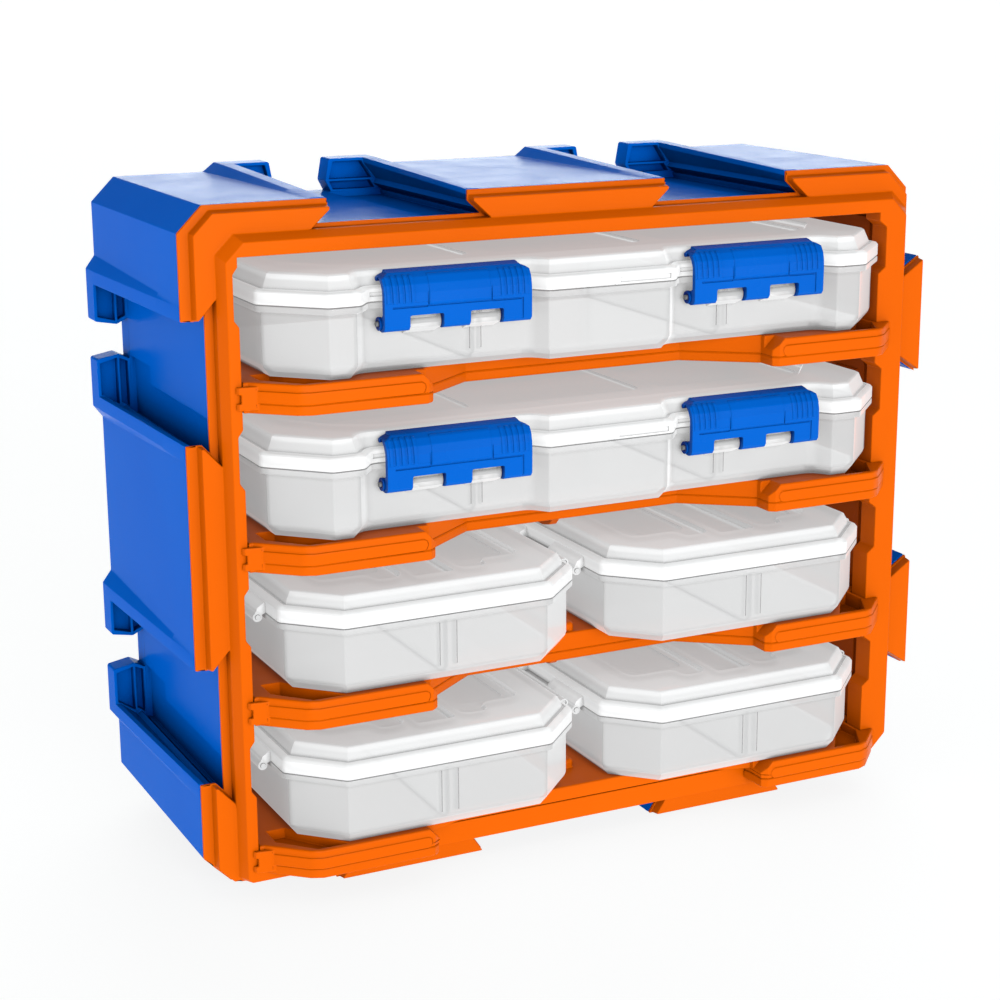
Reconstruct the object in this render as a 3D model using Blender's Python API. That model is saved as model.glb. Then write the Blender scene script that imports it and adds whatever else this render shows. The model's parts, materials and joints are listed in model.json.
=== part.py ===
"""Parts organizer: a dovetailed rack with two wide cases and four half-width cases."""
import math

import bmesh
import bpy
from mathutils import Vector

# All sizes below are in millimetres in the bay frame: x across (0 at the bays' middle line), y back from
# the front face of the bezel, z up. BASE moves that frame to the middle of the part's footprint.
MM = 0.001
BASE = Vector((3.7, -60.0, 21.0))
GAP = 0.3

# Rack
SIDE_L, SIDE_R = -188.0, 176.0
TOP, BOTTOM = 287.0, -12.0
CORNER = 11.0
BACK = 140.0
SHELL_FRONT = 12.0
SHELL_WALL = 5.0
CHANNEL_DEPTH = 11.5
CHANNEL_UNDERCUT = 9.5
CHANNEL_EDGE = 4.0
TOP_CHANNELS = (-89.5, 74.5)
TOP_CHANNEL_HALF = 32.5
SIDE_CHANNELS = (213.0, 61.0)
SIDE_CHANNEL_HALF = 26.3
HORN_RISE = 4.4
HORN_RUN = 12.0
POST_FRONT = 131.0
POST_REACH = 17.0
TENON_HEIGHT = 9.0
TENON_FLARE = 6.0
TENON_ROOT = 1.0
BOTTOM_TENON_HALF = 30.5
SIDE_TENON_HALF = 22.5
SIDE_TENON_Z = (214.0, 62.5)
TENON_END = 128.0

# Front frame
RING_L, RING_R = -171.0, 169.0
RING_TOP, RING_BOTTOM = 272.0, -11.0
RING_CHAMFER = 8.0
RING_SLOPE = 3.0
BLOCK_FRONT = 5.4
FLANGE_FRONT = 10.4
BLOCK_INSET = 2.5
OPEN_L, OPEN_R = -166.0, 154.0
OPEN_TOP, OPEN_BOTTOM = 266.0, -1.0
RELIEF_L, RELIEF_R = 2.2, 4.0
RELIEF_LOW, RELIEF_HIGH = 23.0, 49.0
RELIEF_RAMP = 3.0

# Levels: the z of each lip's top edge, top level first
LEVELS = (213.9, 144.6, 75.3, 6.0)
LIP_HEIGHT = 13.3
LIP_FRONT = -17.0
LIP_INNER = 85.5
LIP_CORNER = 145.0
LIP_ROOT_L, LIP_ROOT_R = -163.5, 161.5
LIP_END_BEVEL = 6.0
LIP_STEP = 0.3
SETBACK = 18.0
SETBACK_HALF = 55.0
DECK = 3.0
SKIRT = 3.0
POCKET_DEPTH = 7.0
LINER_L, LINER_R = -168.5, 160.3
LINER_TOP, LINER_FLOOR = 268.5, -2.0
LINER_BACK = 133.5
LINER_WALL = 2.2

# Cases, heights measured from the lip's top edge
CASE_FLOOR = 0.3
CHAMFER_TOP = 5.5
FLANGE_Z = 28.5
SPLIT_Z = 31.3
RIM_Z = 38.4
PLATEAU_Z = 44.6
WALL = 1.6
FLANGE_OUT = 2.8
CASE_FRONT = -20.0
CASE_BACK = 124.0
WIDE_X = -1.0
WIDE_HALF = 157.0
WIDE_LOBE_HALF = 133.3
LOBE_END = 118.5
CENTRE_LOBE = 31.5
BAY_DEPTH = 8.0
BAY_RAMP = 6.0
SMALL_X = (-81.0, 77.0)
SMALL_HALF = 72.0
SMALL_FRONT_HALF = 50.0
REAR_CHAMFER = 9.0

# Latches and hinges
LATCH_X = 75.0
LATCH_HALF = 35.5
LATCH_PIVOT = (-13.0, 22.2)
BARREL_R = 2.7
PIN_R = 1.1
NOTCHES = ((-21.5, -6.0), (6.5, 22.0))
HINGE_PIVOT_Y = 127.6
HINGE_Z = 30.0
HINGE_R = 2.9
HINGE_X = 70.0
FLAP_PIVOT = (75.0, 35.4)
FLAP_R = 2.0
FLAP_Y = (16.0, 104.0)
FLAP_FOOT = 14.0
SIDE_HINGE_X = -75.6
SIDE_HINGE_Y = (18.0, 106.0)
DIVIDER_X = 62.0
DIVIDER_HALF = 0.8
SEGMENTS = 16

MATERIALS = {}


def material(name, colour, roughness, alpha=1.0):
    mat = bpy.data.materials.new(name)
    mat.use_nodes = True
    bsdf = mat.node_tree.nodes["Principled BSDF"]
    bsdf.inputs["Base Color"].default_value = (*colour, 1.0)
    bsdf.inputs["Roughness"].default_value = roughness
    bsdf.inputs["Alpha"].default_value = alpha
    mat.diffuse_color = (*colour, alpha)
    MATERIALS[name] = mat


def finish(name, bm, mat):
    bmesh.ops.recalc_face_normals(bm, faces=bm.faces[:])
    mesh = bpy.data.meshes.new(name)
    bm.to_mesh(mesh)
    bm.free()
    obj = bpy.data.objects.new(name, mesh)
    bpy.context.scene.collection.objects.link(obj)
    obj.data.materials.append(MATERIALS[mat])
    return obj


def loft(name, rings, mat):
    """A closed body through rings of equal length, capped at both ends."""
    bm = bmesh.new()
    rows = [[bm.verts.new((Vector(p) + BASE) * MM) for p in ring] for ring in rings]
    count = len(rings[0])
    for low, high in zip(rows, rows[1:]):
        for i in range(count):
            j = (i + 1) % count
            bm.faces.new((low[i], low[j], high[j], high[i]))
    bm.faces.new(rows[0][::-1])
    bm.faces.new(rows[-1])
    return finish(name, bm, mat)


def along_y(name, profile, y0, y1, mat):
    return loft(name, [[(x, y, z) for x, z in profile] for y in (y0, y1)], mat)


def along_x(name, profile, x0, x1, mat):
    return loft(name, [[(x, y, z) for y, z in profile] for x in (x0, x1)], mat)


def along_z(name, profile, z0, z1, mat):
    return loft(name, [[(x, y, z) for x, y in profile] for z in (z0, z1)], mat)


def box(name, lo, hi, mat):
    profile = [(lo[0], lo[1]), (hi[0], lo[1]), (hi[0], hi[1]), (lo[0], hi[1])]
    return along_z(name, profile, lo[2], hi[2], mat)


def circle(centre, radius, count=SEGMENTS):
    steps = [2 * math.pi * (i + 0.5) / count for i in range(count)]
    return [(centre[0] + radius * math.cos(a), centre[1] + radius * math.sin(a)) for a in steps]


def inset(poly, d):
    """The counter-clockwise polygon moved inwards by d, corners mitred."""
    out = []
    for i, b in enumerate(poly):
        a, c = Vector(poly[i - 1]), Vector(poly[(i + 1) % len(poly)])
        b = Vector(b)
        e, f = (b - a).normalized(), (c - b).normalized()
        n = Vector((-e.y, e.x)) + Vector((-f.y, f.x))
        out.append(tuple(b + n * (d * 2.0 / n.length_squared)))
    return out


def stack(name, poly, levels, mat):
    """A body from (inset, z) levels of one plan outline."""
    return loft(name, [[(x, y, z) for x, y in inset(poly, d)] for d, z in levels], mat)


def combine(obj, tool, operation):
    mod = obj.modifiers.new("tool", "BOOLEAN")
    mod.operation = operation
    mod.solver = "EXACT"
    mod.object = tool
    graph = bpy.context.evaluated_depsgraph_get()
    result = bpy.data.meshes.new_from_object(obj.evaluated_get(graph))
    obj.modifiers.clear()
    bm = bmesh.new()
    bm.from_mesh(result)
    bmesh.ops.remove_doubles(bm, verts=bm.verts[:], dist=0.00001)
    bmesh.ops.dissolve_degenerate(bm, dist=0.00001, edges=bm.edges[:])
    bm.to_mesh(obj.data)
    bm.free()
    bpy.data.meshes.remove(result)
    tool_mesh = tool.data
    bpy.data.objects.remove(tool)
    bpy.data.meshes.remove(tool_mesh)
    return obj


def cut(obj, tool):
    return combine(obj, tool, "DIFFERENCE")


def add(obj, tool):
    return combine(obj, tool, "UNION")


def smooth(obj, degrees=35.0):
    obj.data.shade_smooth()
    obj.data.set_sharp_from_angle(angle=math.radians(degrees))
    return obj


def set_pivot(obj, point):
    """Put the object's origin on its joint axis."""
    pivot = (Vector(point) + BASE) * MM
    for vertex in obj.data.vertices:
        vertex.co -= pivot
    obj.location = pivot


def channel(centre, half, edge, turn, reach=0.0, rise=0.0):
    """Outline points of one dovetail channel; turn maps (along, outward) to the profile plane."""
    lip = half - reach
    points = [
        (centre - half - HORN_RUN, edge),
        (centre - lip, edge + rise),
        (centre - lip, edge + rise - CHANNEL_EDGE - rise * 2.0),
        (centre - half - CHANNEL_UNDERCUT, edge - CHANNEL_DEPTH),
        (centre + half + CHANNEL_UNDERCUT, edge - CHANNEL_DEPTH),
        (centre + lip, edge + rise - CHANNEL_EDGE - rise * 2.0),
        (centre + lip, edge + rise),
        (centre + half + HORN_RUN, edge),
    ]
    return [turn(a, o) for a, o in points]


def tenon(centre, half, edge, turn, root=0.0):
    points = [
        (centre - half, edge - root),
        (centre - half - TENON_FLARE, edge + TENON_HEIGHT),
        (centre + half + TENON_FLARE, edge + TENON_HEIGHT),
        (centre + half, edge - root),
    ]
    return [turn(a, o) for a, o in points]


def rack_profile(reach=0.0, rise=0.0, tenons=True):
    """Front outline of the rack, counter-clockwise seen from the front, from the lower left corner."""
    points = [(SIDE_L + 12.0, BOTTOM)]
    if tenons:
        for x in TOP_CHANNELS:
            points += tenon(x, BOTTOM_TENON_HALF, -BOTTOM, lambda a, o: (a, -o))
    points += [(SIDE_R - 13.0, BOTTOM), (SIDE_R, BOTTOM + 13.0)]
    if tenons:
        for z in SIDE_TENON_Z[::-1]:
            points += tenon(z, SIDE_TENON_HALF, SIDE_R, lambda a, o: (o, a))
    points += [(SIDE_R, TOP - CORNER), (SIDE_R - CORNER, TOP)]
    for x in TOP_CHANNELS[::-1]:
        points += channel(-x, TOP_CHANNEL_HALF, TOP, lambda a, o: (-a, o), reach, rise)
    points += [(SIDE_L + CORNER, TOP), (SIDE_L, TOP - CORNER)]
    for z in SIDE_CHANNELS:
        points += channel(-z, SIDE_CHANNEL_HALF, -SIDE_L, lambda a, o: (-o, -a), reach, rise)
    return points + [(SIDE_L, 0.0)]


def build_housing():
    flat = rack_profile(tenons=False)
    ramp = rack_profile(rise=HORN_RISE * 0.93, tenons=False)
    post = rack_profile(reach=POST_REACH, rise=HORN_RISE * 0.93, tenons=False)
    tip = rack_profile(reach=POST_REACH, rise=HORN_RISE, tenons=False)
    rows = [(flat, SHELL_FRONT + GAP), (ramp, POST_FRONT), (post, POST_FRONT + 0.5), (tip, BACK)]
    housing = loft("housing", [[(x, y, z) for x, z in ring] for ring, y in rows], "shell_blue")
    for x in TOP_CHANNELS:
        shape = tenon(x, BOTTOM_TENON_HALF, -BOTTOM, lambda a, o: (a, -o), TENON_ROOT)
        add(housing, along_y("tool", shape, SHELL_FRONT + GAP, TENON_END, "shell_blue"))
    for z in SIDE_TENON_Z:
        shape = tenon(z, SIDE_TENON_HALF, SIDE_R, lambda a, o: (o, a), TENON_ROOT)
        add(housing, along_y("tool", shape, SHELL_FRONT + GAP, TENON_END, "shell_blue"))
    inner = (LINER_L - LINER_WALL - GAP, SIDE_R - SHELL_WALL, LINER_FLOOR - LINER_WALL - GAP)
    cavity = box(
        "tool",
        (inner[0], SHELL_FRONT - 5.0, inner[2]),
        (inner[1], BACK - 4.0, TOP - CHANNEL_DEPTH - 4.0),
        "shell_blue",
    )
    return cut(housing, cavity)


def ring_outline(grow, bottom=RING_BOTTOM):
    low = 13.0
    c = RING_CHAMFER
    left, right, top = RING_L - grow, RING_R + grow, RING_TOP + grow
    return [
        (left + 2.0, bottom),
        (right - low, bottom),
        (right, bottom + low),
        (right, top - c),
        (right - c, top),
        (left + c, top),
        (left, top - c),
        (left, bottom + 2.0),
    ]


def opening_outline():
    """The bezel's opening: relieved at each level where the case rims pass."""
    right, left = [], []
    for level in LEVELS[::-1]:
        low, high = level + RELIEF_LOW, min(level + RELIEF_HIGH, OPEN_TOP - 4.0)
        ramp = RELIEF_RAMP
        right += [(OPEN_R, low), (OPEN_R + RELIEF_R, low + ramp)]
        right += [(OPEN_R + RELIEF_R, high - ramp), (OPEN_R, high)]
        left += [(OPEN_L, low), (OPEN_L - RELIEF_L, low + ramp)]
        left += [(OPEN_L - RELIEF_L, high - ramp), (OPEN_L, high)]
    corners_low = [(OPEN_L, OPEN_BOTTOM), (OPEN_R, OPEN_BOTTOM)]
    corners_high = [(OPEN_R, OPEN_TOP), (OPEN_L, OPEN_TOP)]
    return corners_low + right + corners_high + left[::-1]


def build_front_frame():
    outer = rack_profile()
    step = inset(outer, BLOCK_INSET)
    rows = [(step, BLOCK_FRONT), (step, FLANGE_FRONT), (outer, FLANGE_FRONT), (outer, SHELL_FRONT)]
    frame = loft("front_frame", [[(x, y, z) for x, z in ring] for ring, y in rows], "frame_orange")
    rows = [(ring_outline(RING_SLOPE), SHELL_FRONT - 1.0), (ring_outline(RING_SLOPE), BLOCK_FRONT)]
    rows.append((ring_outline(0.0), 0.0))
    add(frame, loft("tool", [[(x, y, z) for x, z in ring] for ring, y in rows], "frame_orange"))
    cut(frame, along_y("tool", opening_outline(), -5.0, SHELL_FRONT + 5.0, "frame_orange"))
    return frame


def build_liner():
    lo = (LINER_L - LINER_WALL, SHELL_FRONT + GAP, LINER_FLOOR - LINER_WALL)
    hi = (LINER_R + LINER_WALL, LINER_BACK + 2.0, LINER_TOP + LINER_WALL)
    liner = box("inner_liner", lo, hi, "liner_orange")
    cavity_lo = (LINER_L, SHELL_FRONT - 5.0, LINER_FLOOR)
    return cut(liner, box("tool", cavity_lo, (LINER_R, LINER_BACK, LINER_TOP), "liner_orange"))


def lip_points(side, inner_y, inner_x):
    """One lip's plan outline from its root on the bezel to the set-back edge; side is -1 or 1."""
    root = LIP_ROOT_R if side > 0 else -LIP_ROOT_L
    points = [
        (root, -GAP),
        (LIP_CORNER, LIP_FRONT),
        (LIP_INNER + LIP_END_BEVEL * 0.4, LIP_FRONT),
        (LIP_INNER, LIP_FRONT + 2.0),
        (LIP_INNER, LIP_FRONT + 12.0),
        (inner_x, inner_y),
    ]
    return [(side * x, y) for x, y in points]


def shelf_outline(inner_y, inner_x):
    left = lip_points(-1, inner_y, inner_x)
    right = lip_points(1, inner_y, inner_x)[::-1]
    wing_y = SHELL_FRONT + 2.0
    back = LINER_BACK - GAP
    body = [(OPEN_R - GAP, -GAP), (OPEN_R - GAP, wing_y), (LINER_R - GAP, wing_y), (LINER_R - GAP, back)]
    body += [(LINER_L + GAP, back), (LINER_L + GAP, wing_y), (OPEN_L + GAP, wing_y)]
    return left + right + body + [(OPEN_L + GAP, -GAP)]


def corner_pocket(side, level):
    outer = (LIP_ROOT_R if side > 0 else -LIP_ROOT_L) - 6.0
    points = [
        (outer, 1.5),
        (LIP_CORNER - 1.5, LIP_FRONT + SKIRT),
        (LIP_CORNER - 16.0, LIP_FRONT + SKIRT),
        (LIP_CORNER + 4.0, 14.0),
        (min(outer, OPEN_R - 2.0) if side > 0 else outer, 14.0),
        (min(outer, OPEN_R - 2.0) if side > 0 else outer, 4.0),
    ]
    if side < 0:
        points = points[:-1]
    return along_z("tool", [(side * x, y) for x, y in points], level - POCKET_DEPTH, level + 5.0, "frame_orange")


def build_shelf(number, level):
    outline = shelf_outline(SETBACK, SETBACK_HALF)
    shelf = along_z(f"shelf_{number}", outline, level - LIP_HEIGHT, level, "frame_orange")
    under = [(-120.0, -8.0), (-88.5, -8.0), (-88.5, 0.0), (-56.0, SETBACK + 6.0), (56.0, SETBACK + 6.0)]
    under += [(88.5, 0.0), (88.5, -8.0), (120.0, -8.0), (120.0, 20.0), (150.0, 20.0)]
    under += [(150.0, LINER_BACK - 6.0), (-158.0, LINER_BACK - 6.0), (-158.0, 20.0), (-120.0, 20.0)]
    cut(shelf, along_z("tool", under, level - LIP_HEIGHT - 5.0, level - DECK, "frame_orange"))
    for side in (-1, 1):
        cut(shelf, corner_pocket(side, level))
    return shelf


def add_guides(shelf, level, above):
    """Low ribs on a deck that keep the two half-width cases apart, and the hanging rib above them."""
    rib = [(-6.0, SETBACK + 2.0), (2.0, SETBACK + 2.0), (2.0, 126.0), (-6.0, 126.0)]
    if above:
        nose = [(SETBACK + 14.0, -3.5), (SETBACK + 26.0, -9.0), (120.0, -9.0), (120.0, 2.0), (SETBACK + 14.0, 2.0)]
        nose = [(y, level - LIP_HEIGHT + z) for y, z in nose]
        deck = [(SETBACK + 14.0, level - LIP_HEIGHT + 1.0), (120.0, level - LIP_HEIGHT + 1.0)]
        deck += [(120.0, level - DECK + 1.0), (SETBACK + 14.0, level - DECK + 1.0)]
        add(shelf, along_x("tool", deck, -4.0, 0.0, "frame_orange"))
        add(shelf, along_x("tool", nose, -4.0, 0.0, "frame_orange"))
    else:
        add(shelf, along_z("tool", rib, level - 1.0, level + 4.0, "frame_orange"))


def build_floor_tray():
    level = LEVELS[3]
    deck_low = OPEN_BOTTOM + GAP
    tray = along_z("floor_tray", shelf_outline(0.0, 69.0), deck_low, level, "frame_orange")
    for side in (-1, 1):
        lip = lip_points(side, -GAP, LIP_INNER - 1.0)[::-side]
        lip = inset(lip, LIP_STEP)
        add(tray, along_z("tool", lip, level - LIP_HEIGHT, deck_low + 2.0, "frame_orange"))
    for side in (-1, 1):
        cut(tray, corner_pocket_shallow(side, level))
    rib = [(-6.0, 20.0), (2.0, 20.0), (2.0, 126.0), (-6.0, 126.0)]
    return add(tray, along_z("tool", rib, level - 1.0, level + 4.0, "frame_orange"))


def corner_pocket_shallow(side, level):
    root = LIP_ROOT_R if side > 0 else -LIP_ROOT_L
    limit = OPEN_R - 2.0 if side > 0 else root - 6.0
    points = [
        (LIP_CORNER - 1.5, LIP_FRONT + SKIRT),
        (LIP_CORNER - 16.0, LIP_FRONT + SKIRT),
        (LIP_CORNER + 4.0, 14.0),
        (limit, 14.0),
        (limit, LIP_FRONT + SKIRT + limit - LIP_CORNER + 1.5),
    ]
    return along_z("tool", [(side * x, y) for x, y in points], level - 4.5, level + 5.0, "frame_orange")


def wide_outline():
    """Rim outline of a full-width case: three lobes with two latch bays, counter-clockwise."""
    bay = CASE_FRONT + BAY_DEPTH
    half = [
        (CENTRE_LOBE, CASE_FRONT),
        (CENTRE_LOBE + BAY_RAMP, bay),
        (LOBE_END - BAY_RAMP, bay),
        (LOBE_END, CASE_FRONT),
        (WIDE_LOBE_HALF, CASE_FRONT),
        (WIDE_HALF, CASE_FRONT + WIDE_HALF - WIDE_LOBE_HALF),
        (WIDE_HALF, CASE_BACK - REAR_CHAMFER),
        (WIDE_HALF - REAR_CHAMFER, CASE_BACK),
    ]
    mirror = [(-x, y) for x, y in half[::-1]]
    return [(WIDE_X + x, y) for x, y in half + mirror]


def small_outline(centre):
    ramp = SMALL_HALF - SMALL_FRONT_HALF
    half = [
        (SMALL_FRONT_HALF, CASE_FRONT),
        (SMALL_HALF, CASE_FRONT + ramp),
        (SMALL_HALF, CASE_BACK - REAR_CHAMFER),
        (SMALL_HALF - REAR_CHAMFER, CASE_BACK),
    ]
    mirror = [(-x, y) for x, y in half[::-1]]
    return [(centre + x, y) for x, y in half + mirror]


def build_tray(name, outline, level):
    levels = [
        (FLANGE_OUT + 3.5, CASE_FLOOR),
        (FLANGE_OUT, CHAMFER_TOP),
        (FLANGE_OUT, FLANGE_Z),
        (0.0, FLANGE_Z),
        (0.0, SPLIT_Z),
        (FLANGE_OUT + WALL, SPLIT_Z),
        (FLANGE_OUT + WALL, CHAMFER_TOP),
        (FLANGE_OUT + WALL + 3.3, CASE_FLOOR + 1.8),
    ]
    return stack(name, outline, [(d, level + z) for d, z in levels], "clear_body")


def build_lid(name, outline, level):
    levels = [
        (9.0, PLATEAU_Z - 1.8),
        (FLANGE_OUT + 1.8, RIM_Z - 0.6),
        (FLANGE_OUT + 1.8, SPLIT_Z + GAP),
        (0.0, SPLIT_Z + GAP),
        (0.0, RIM_Z - 1.0),
        (1.0, RIM_Z),
        (3.4, RIM_Z + 1.2),
        (8.0, PLATEAU_Z),
    ]
    return stack(name, outline, [(d, level + z) for d, z in levels], "clear_lid")


def rod_x(name, x0, x1, y, z, radius, mat):
    return along_x(name, circle((y, z), radius), x0, x1, mat)


def rod_y(name, y0, y1, x, z, radius, mat):
    return along_y(name, circle((x, z), radius), y0, y1, mat)


def build_wide_case(tag, level):
    outline = wide_outline()
    tray = build_tray(f"{tag}_tray", outline, level)
    lid = build_lid(f"{tag}_lid", outline, level)
    py, pz = LATCH_PIVOT[0], level + LATCH_PIVOT[1]
    body_face = CASE_FRONT + BAY_DEPTH + FLANGE_OUT
    for side, word in ((-1, "left"), (1, "right")):
        centre = WIDE_X + side * LATCH_X
        for low, high in NOTCHES:
            x0, x1 = centre + low + 0.5, centre + high - 0.5
            knuckle = [(body_face + 0.8, pz - BARREL_R - 4.0), (body_face + 0.8, pz + BARREL_R)]
            knuckle += [(py, pz + BARREL_R), (py - BARREL_R, pz + 1.2), (py - BARREL_R, pz - 1.2)]
            knuckle += [(py, pz - BARREL_R)]
            add(tray, along_x("tool", knuckle[::-1], x0, x1, "clear_body"))
        cut(tray, rod_x("tool", centre - LATCH_HALF, centre + LATCH_HALF, py, pz, PIN_R + 0.15, "clear_body"))
        pin_half = LATCH_HALF - 0.6
        rod_x(f"{tag}_latch_pin_{word}", centre - pin_half, centre + pin_half, py, pz, PIN_R, "pin_grey")
        build_latch(f"{tag}_latch_{word}", centre, level)
        add_rear_hinge(tray, lid, f"{tag}_hinge_pin_{word}", WIDE_X + side * HINGE_X, level)
        x = WIDE_X + side * DIVIDER_X
        lo = (x - DIVIDER_HALF, CASE_FRONT + BAY_DEPTH + FLANGE_OUT + WALL + 1.0, level + CASE_FLOOR + 2.1)
        hi = (x + DIVIDER_HALF, CASE_BACK - FLANGE_OUT - WALL - 1.0, level + FLANGE_Z - 1.0)
        build_divider(f"{tag}_divider_{word}", lo, hi, level)


def build_divider(name, lo, hi, level):
    foot = 4.0
    profile = [(lo[1] + foot, lo[2]), (hi[1] - foot, lo[2]), (hi[1], level + CHAMFER_TOP + 0.5)]
    profile += [(hi[1], hi[2]), (lo[1], hi[2]), (lo[1], level + CHAMFER_TOP + 0.5)]
    return along_x(name, profile, lo[0], hi[0], "clear_body")


def add_rear_hinge(tray, lid, pin_name, x, level):
    y, z = HINGE_PIVOT_Y, level + HINGE_Z
    arm_y = CASE_BACK - 1.5

    def arm(x0, x1, z0, z1):
        section = [(arm_y, z0), (y, z0), (y, z1), (arm_y, z1)]
        return along_x("tool", section, x0, x1, "clear_body")

    add(tray, arm(x - 8.0, x + 8.0, z - 1.4, z + 1.1))
    add(tray, rod_x("tool", x - 8.0, x + 8.0, y, z, HINGE_R, "clear_body"))
    for x0, x1 in ((x - 18.0, x - 8.5), (x + 8.5, x + 18.0)):
        knuckle = rod_x("tool", x0, x1, y, z, HINGE_R, "clear_lid")
        add(lid, knuckle)
        link = [(CASE_BACK - 1.5, z + 2.0), (y, z + 0.5), (y + HINGE_R - 0.5, z + 1.5)]
        link += [(y, z + 6.0), (CASE_BACK - 1.5, z + 6.0)]
        add(lid, along_x("tool", link, x0, x1, "clear_lid"))
    for target in (tray, lid):
        cut(target, rod_x("tool", x - 20.0, x + 20.0, y, z, PIN_R + 0.15, "clear_body"))
    rod_x(pin_name, x - 18.5, x + 18.5, y, z, PIN_R, "pin_grey")


def build_latch(name, centre, level):
    """Draw latch: a curved plate with a hook over the lid rim, turning on its lower barrel."""
    py, pz = LATCH_PIVOT
    section = [
        (py - 2.6, pz - 2.6),
        (-18.6, 20.2),
        (-19.8, 22.0),
        (-20.0, 35.0),
        (-18.8, 40.0),
        (-15.6, 43.8),
        (-11.6, 45.4),
        (-8.8, 45.2),
        (-9.0, 40.6),
        (-10.4, 40.3),
        (-11.0, 42.8),
        (-13.0, 42.2),
        (-15.4, 39.8),
        (-16.8, 36.0),
        (-16.8, 26.0),
        (py - 1.0, pz + 2.4),
    ]
    section = [(y, level + z) for y, z in section]
    x0, x1 = centre - LATCH_HALF, centre + LATCH_HALF
    latch = along_x(name, section, x0, x1, "latch_blue")
    add(latch, rod_x("tool", x0, x1, py, level + pz, BARREL_R, "latch_blue"))
    for low, high in NOTCHES:
        lo = (centre + low, -25.0, level + 15.0)
        cut(latch, box("tool", lo, (centre + high, -5.0, level + pz + 3.4), "latch_blue"))
    cut(latch, rod_x("tool", x0 - 5.0, x1 + 5.0, py, level + pz, PIN_R + 0.15, "latch_blue"))
    smooth(latch)
    set_pivot(latch, (centre, py, level + pz))


def build_small_case(tag, centre, level):
    outline = small_outline(centre)
    tray = build_tray(f"{tag}_tray", outline, level)
    lid = build_lid(f"{tag}_lid", outline, level)
    add_side_hinge(tray, lid, f"{tag}_hinge_pin", centre, level)
    build_flap(lid, tag, centre, level)
    lo = (centre - DIVIDER_HALF, CASE_FRONT + FLANGE_OUT + WALL + 1.0, level + CASE_FLOOR + 2.1)
    hi = (centre + DIVIDER_HALF, CASE_BACK - FLANGE_OUT - WALL - 1.0, level + FLANGE_Z - 1.0)
    build_divider(f"{tag}_divider", lo, hi, level)


def add_side_hinge(tray, lid, pin_name, centre, level):
    x, z = centre + SIDE_HINGE_X, level + HINGE_Z
    y0, y1 = SIDE_HINGE_Y
    third = (y1 - y0) / 3.0
    edge = centre - SMALL_HALF + 1.2
    tray_span = (y0 + third, y1 - third)
    arm = [(x, z - 1.4), (edge, z - 1.4), (edge, z + 1.1), (x, z + 1.1)]
    add(tray, along_y("tool", arm, *tray_span, "clear_body"))
    add(tray, rod_y("tool", *tray_span, x, z, FLAP_R + 0.2, "clear_body"))
    for span in ((y0, y0 + third - 0.5), (y1 - third + 0.5, y1)):
        add(lid, rod_y("tool", *span, x, z, FLAP_R + 0.2, "clear_lid"))
        link = [(x - 1.5, z + 1.0), (x + 1.0, z + 0.4), (edge, z + 2.0), (edge, z + 5.5), (x, z + 5.5)]
        add(lid, along_y("tool", link, *span, "clear_lid"))
    for target in (tray, lid):
        cut(target, rod_y("tool", y0 - 2.0, y1 + 2.0, x, z, PIN_R + 0.15, "clear_body"))
    rod_y(pin_name, y0 - 0.5, y1 + 0.5, x, z, PIN_R, "pin_clear")


def build_flap(lid, tag, centre, level):
    """Clear side latch hung from the lid's right edge."""
    x, z = centre + FLAP_PIVOT[0], level + FLAP_PIVOT[1]
    y0, y1 = FLAP_Y
    edge = centre + SMALL_HALF - 1.0
    lug = 6.0
    for span in ((y0, y0 + lug), (y1 - lug, y1)):
        block = [(edge, z - 1.6), (x, z - FLAP_R), (x, z + FLAP_R), (edge, z + 1.6)]
        add(lid, along_y("tool", block, *span, "clear_lid"))
        add(lid, rod_y("tool", *span, x, z, FLAP_R, "clear_lid"))
    cut(lid, rod_y("tool", y0 - 2.0, y1 + 2.0, x, z, PIN_R + 0.15, "clear_lid"))
    flap_span = (y0 + lug + 0.5, y1 - lug - 0.5)
    foot = level + FLAP_FOOT
    section = [
        (x - 1.2, foot + 2.0),
        (x + 0.6, foot),
        (x + 2.0, foot + 0.6),
        (x + 1.4, foot + 5.0),
        (x + 1.6, z),
        (x - 1.2, z),
    ]
    flap = along_y(f"{tag}_latch", section, *flap_span, "clear_lid")
    add(flap, rod_y("tool", *flap_span, x, z, FLAP_R, "clear_lid"))
    cut(flap, rod_y("tool", y0 - 2.0, y1 + 2.0, x, z, PIN_R + 0.15, "clear_lid"))
    smooth(flap)
    set_pivot(flap, (x, (y0 + y1) / 2.0, z))
    rod_y(f"{tag}_latch_pin", y0 + 0.5, y1 - 0.5, x, z, PIN_R, "pin_clear")


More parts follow.
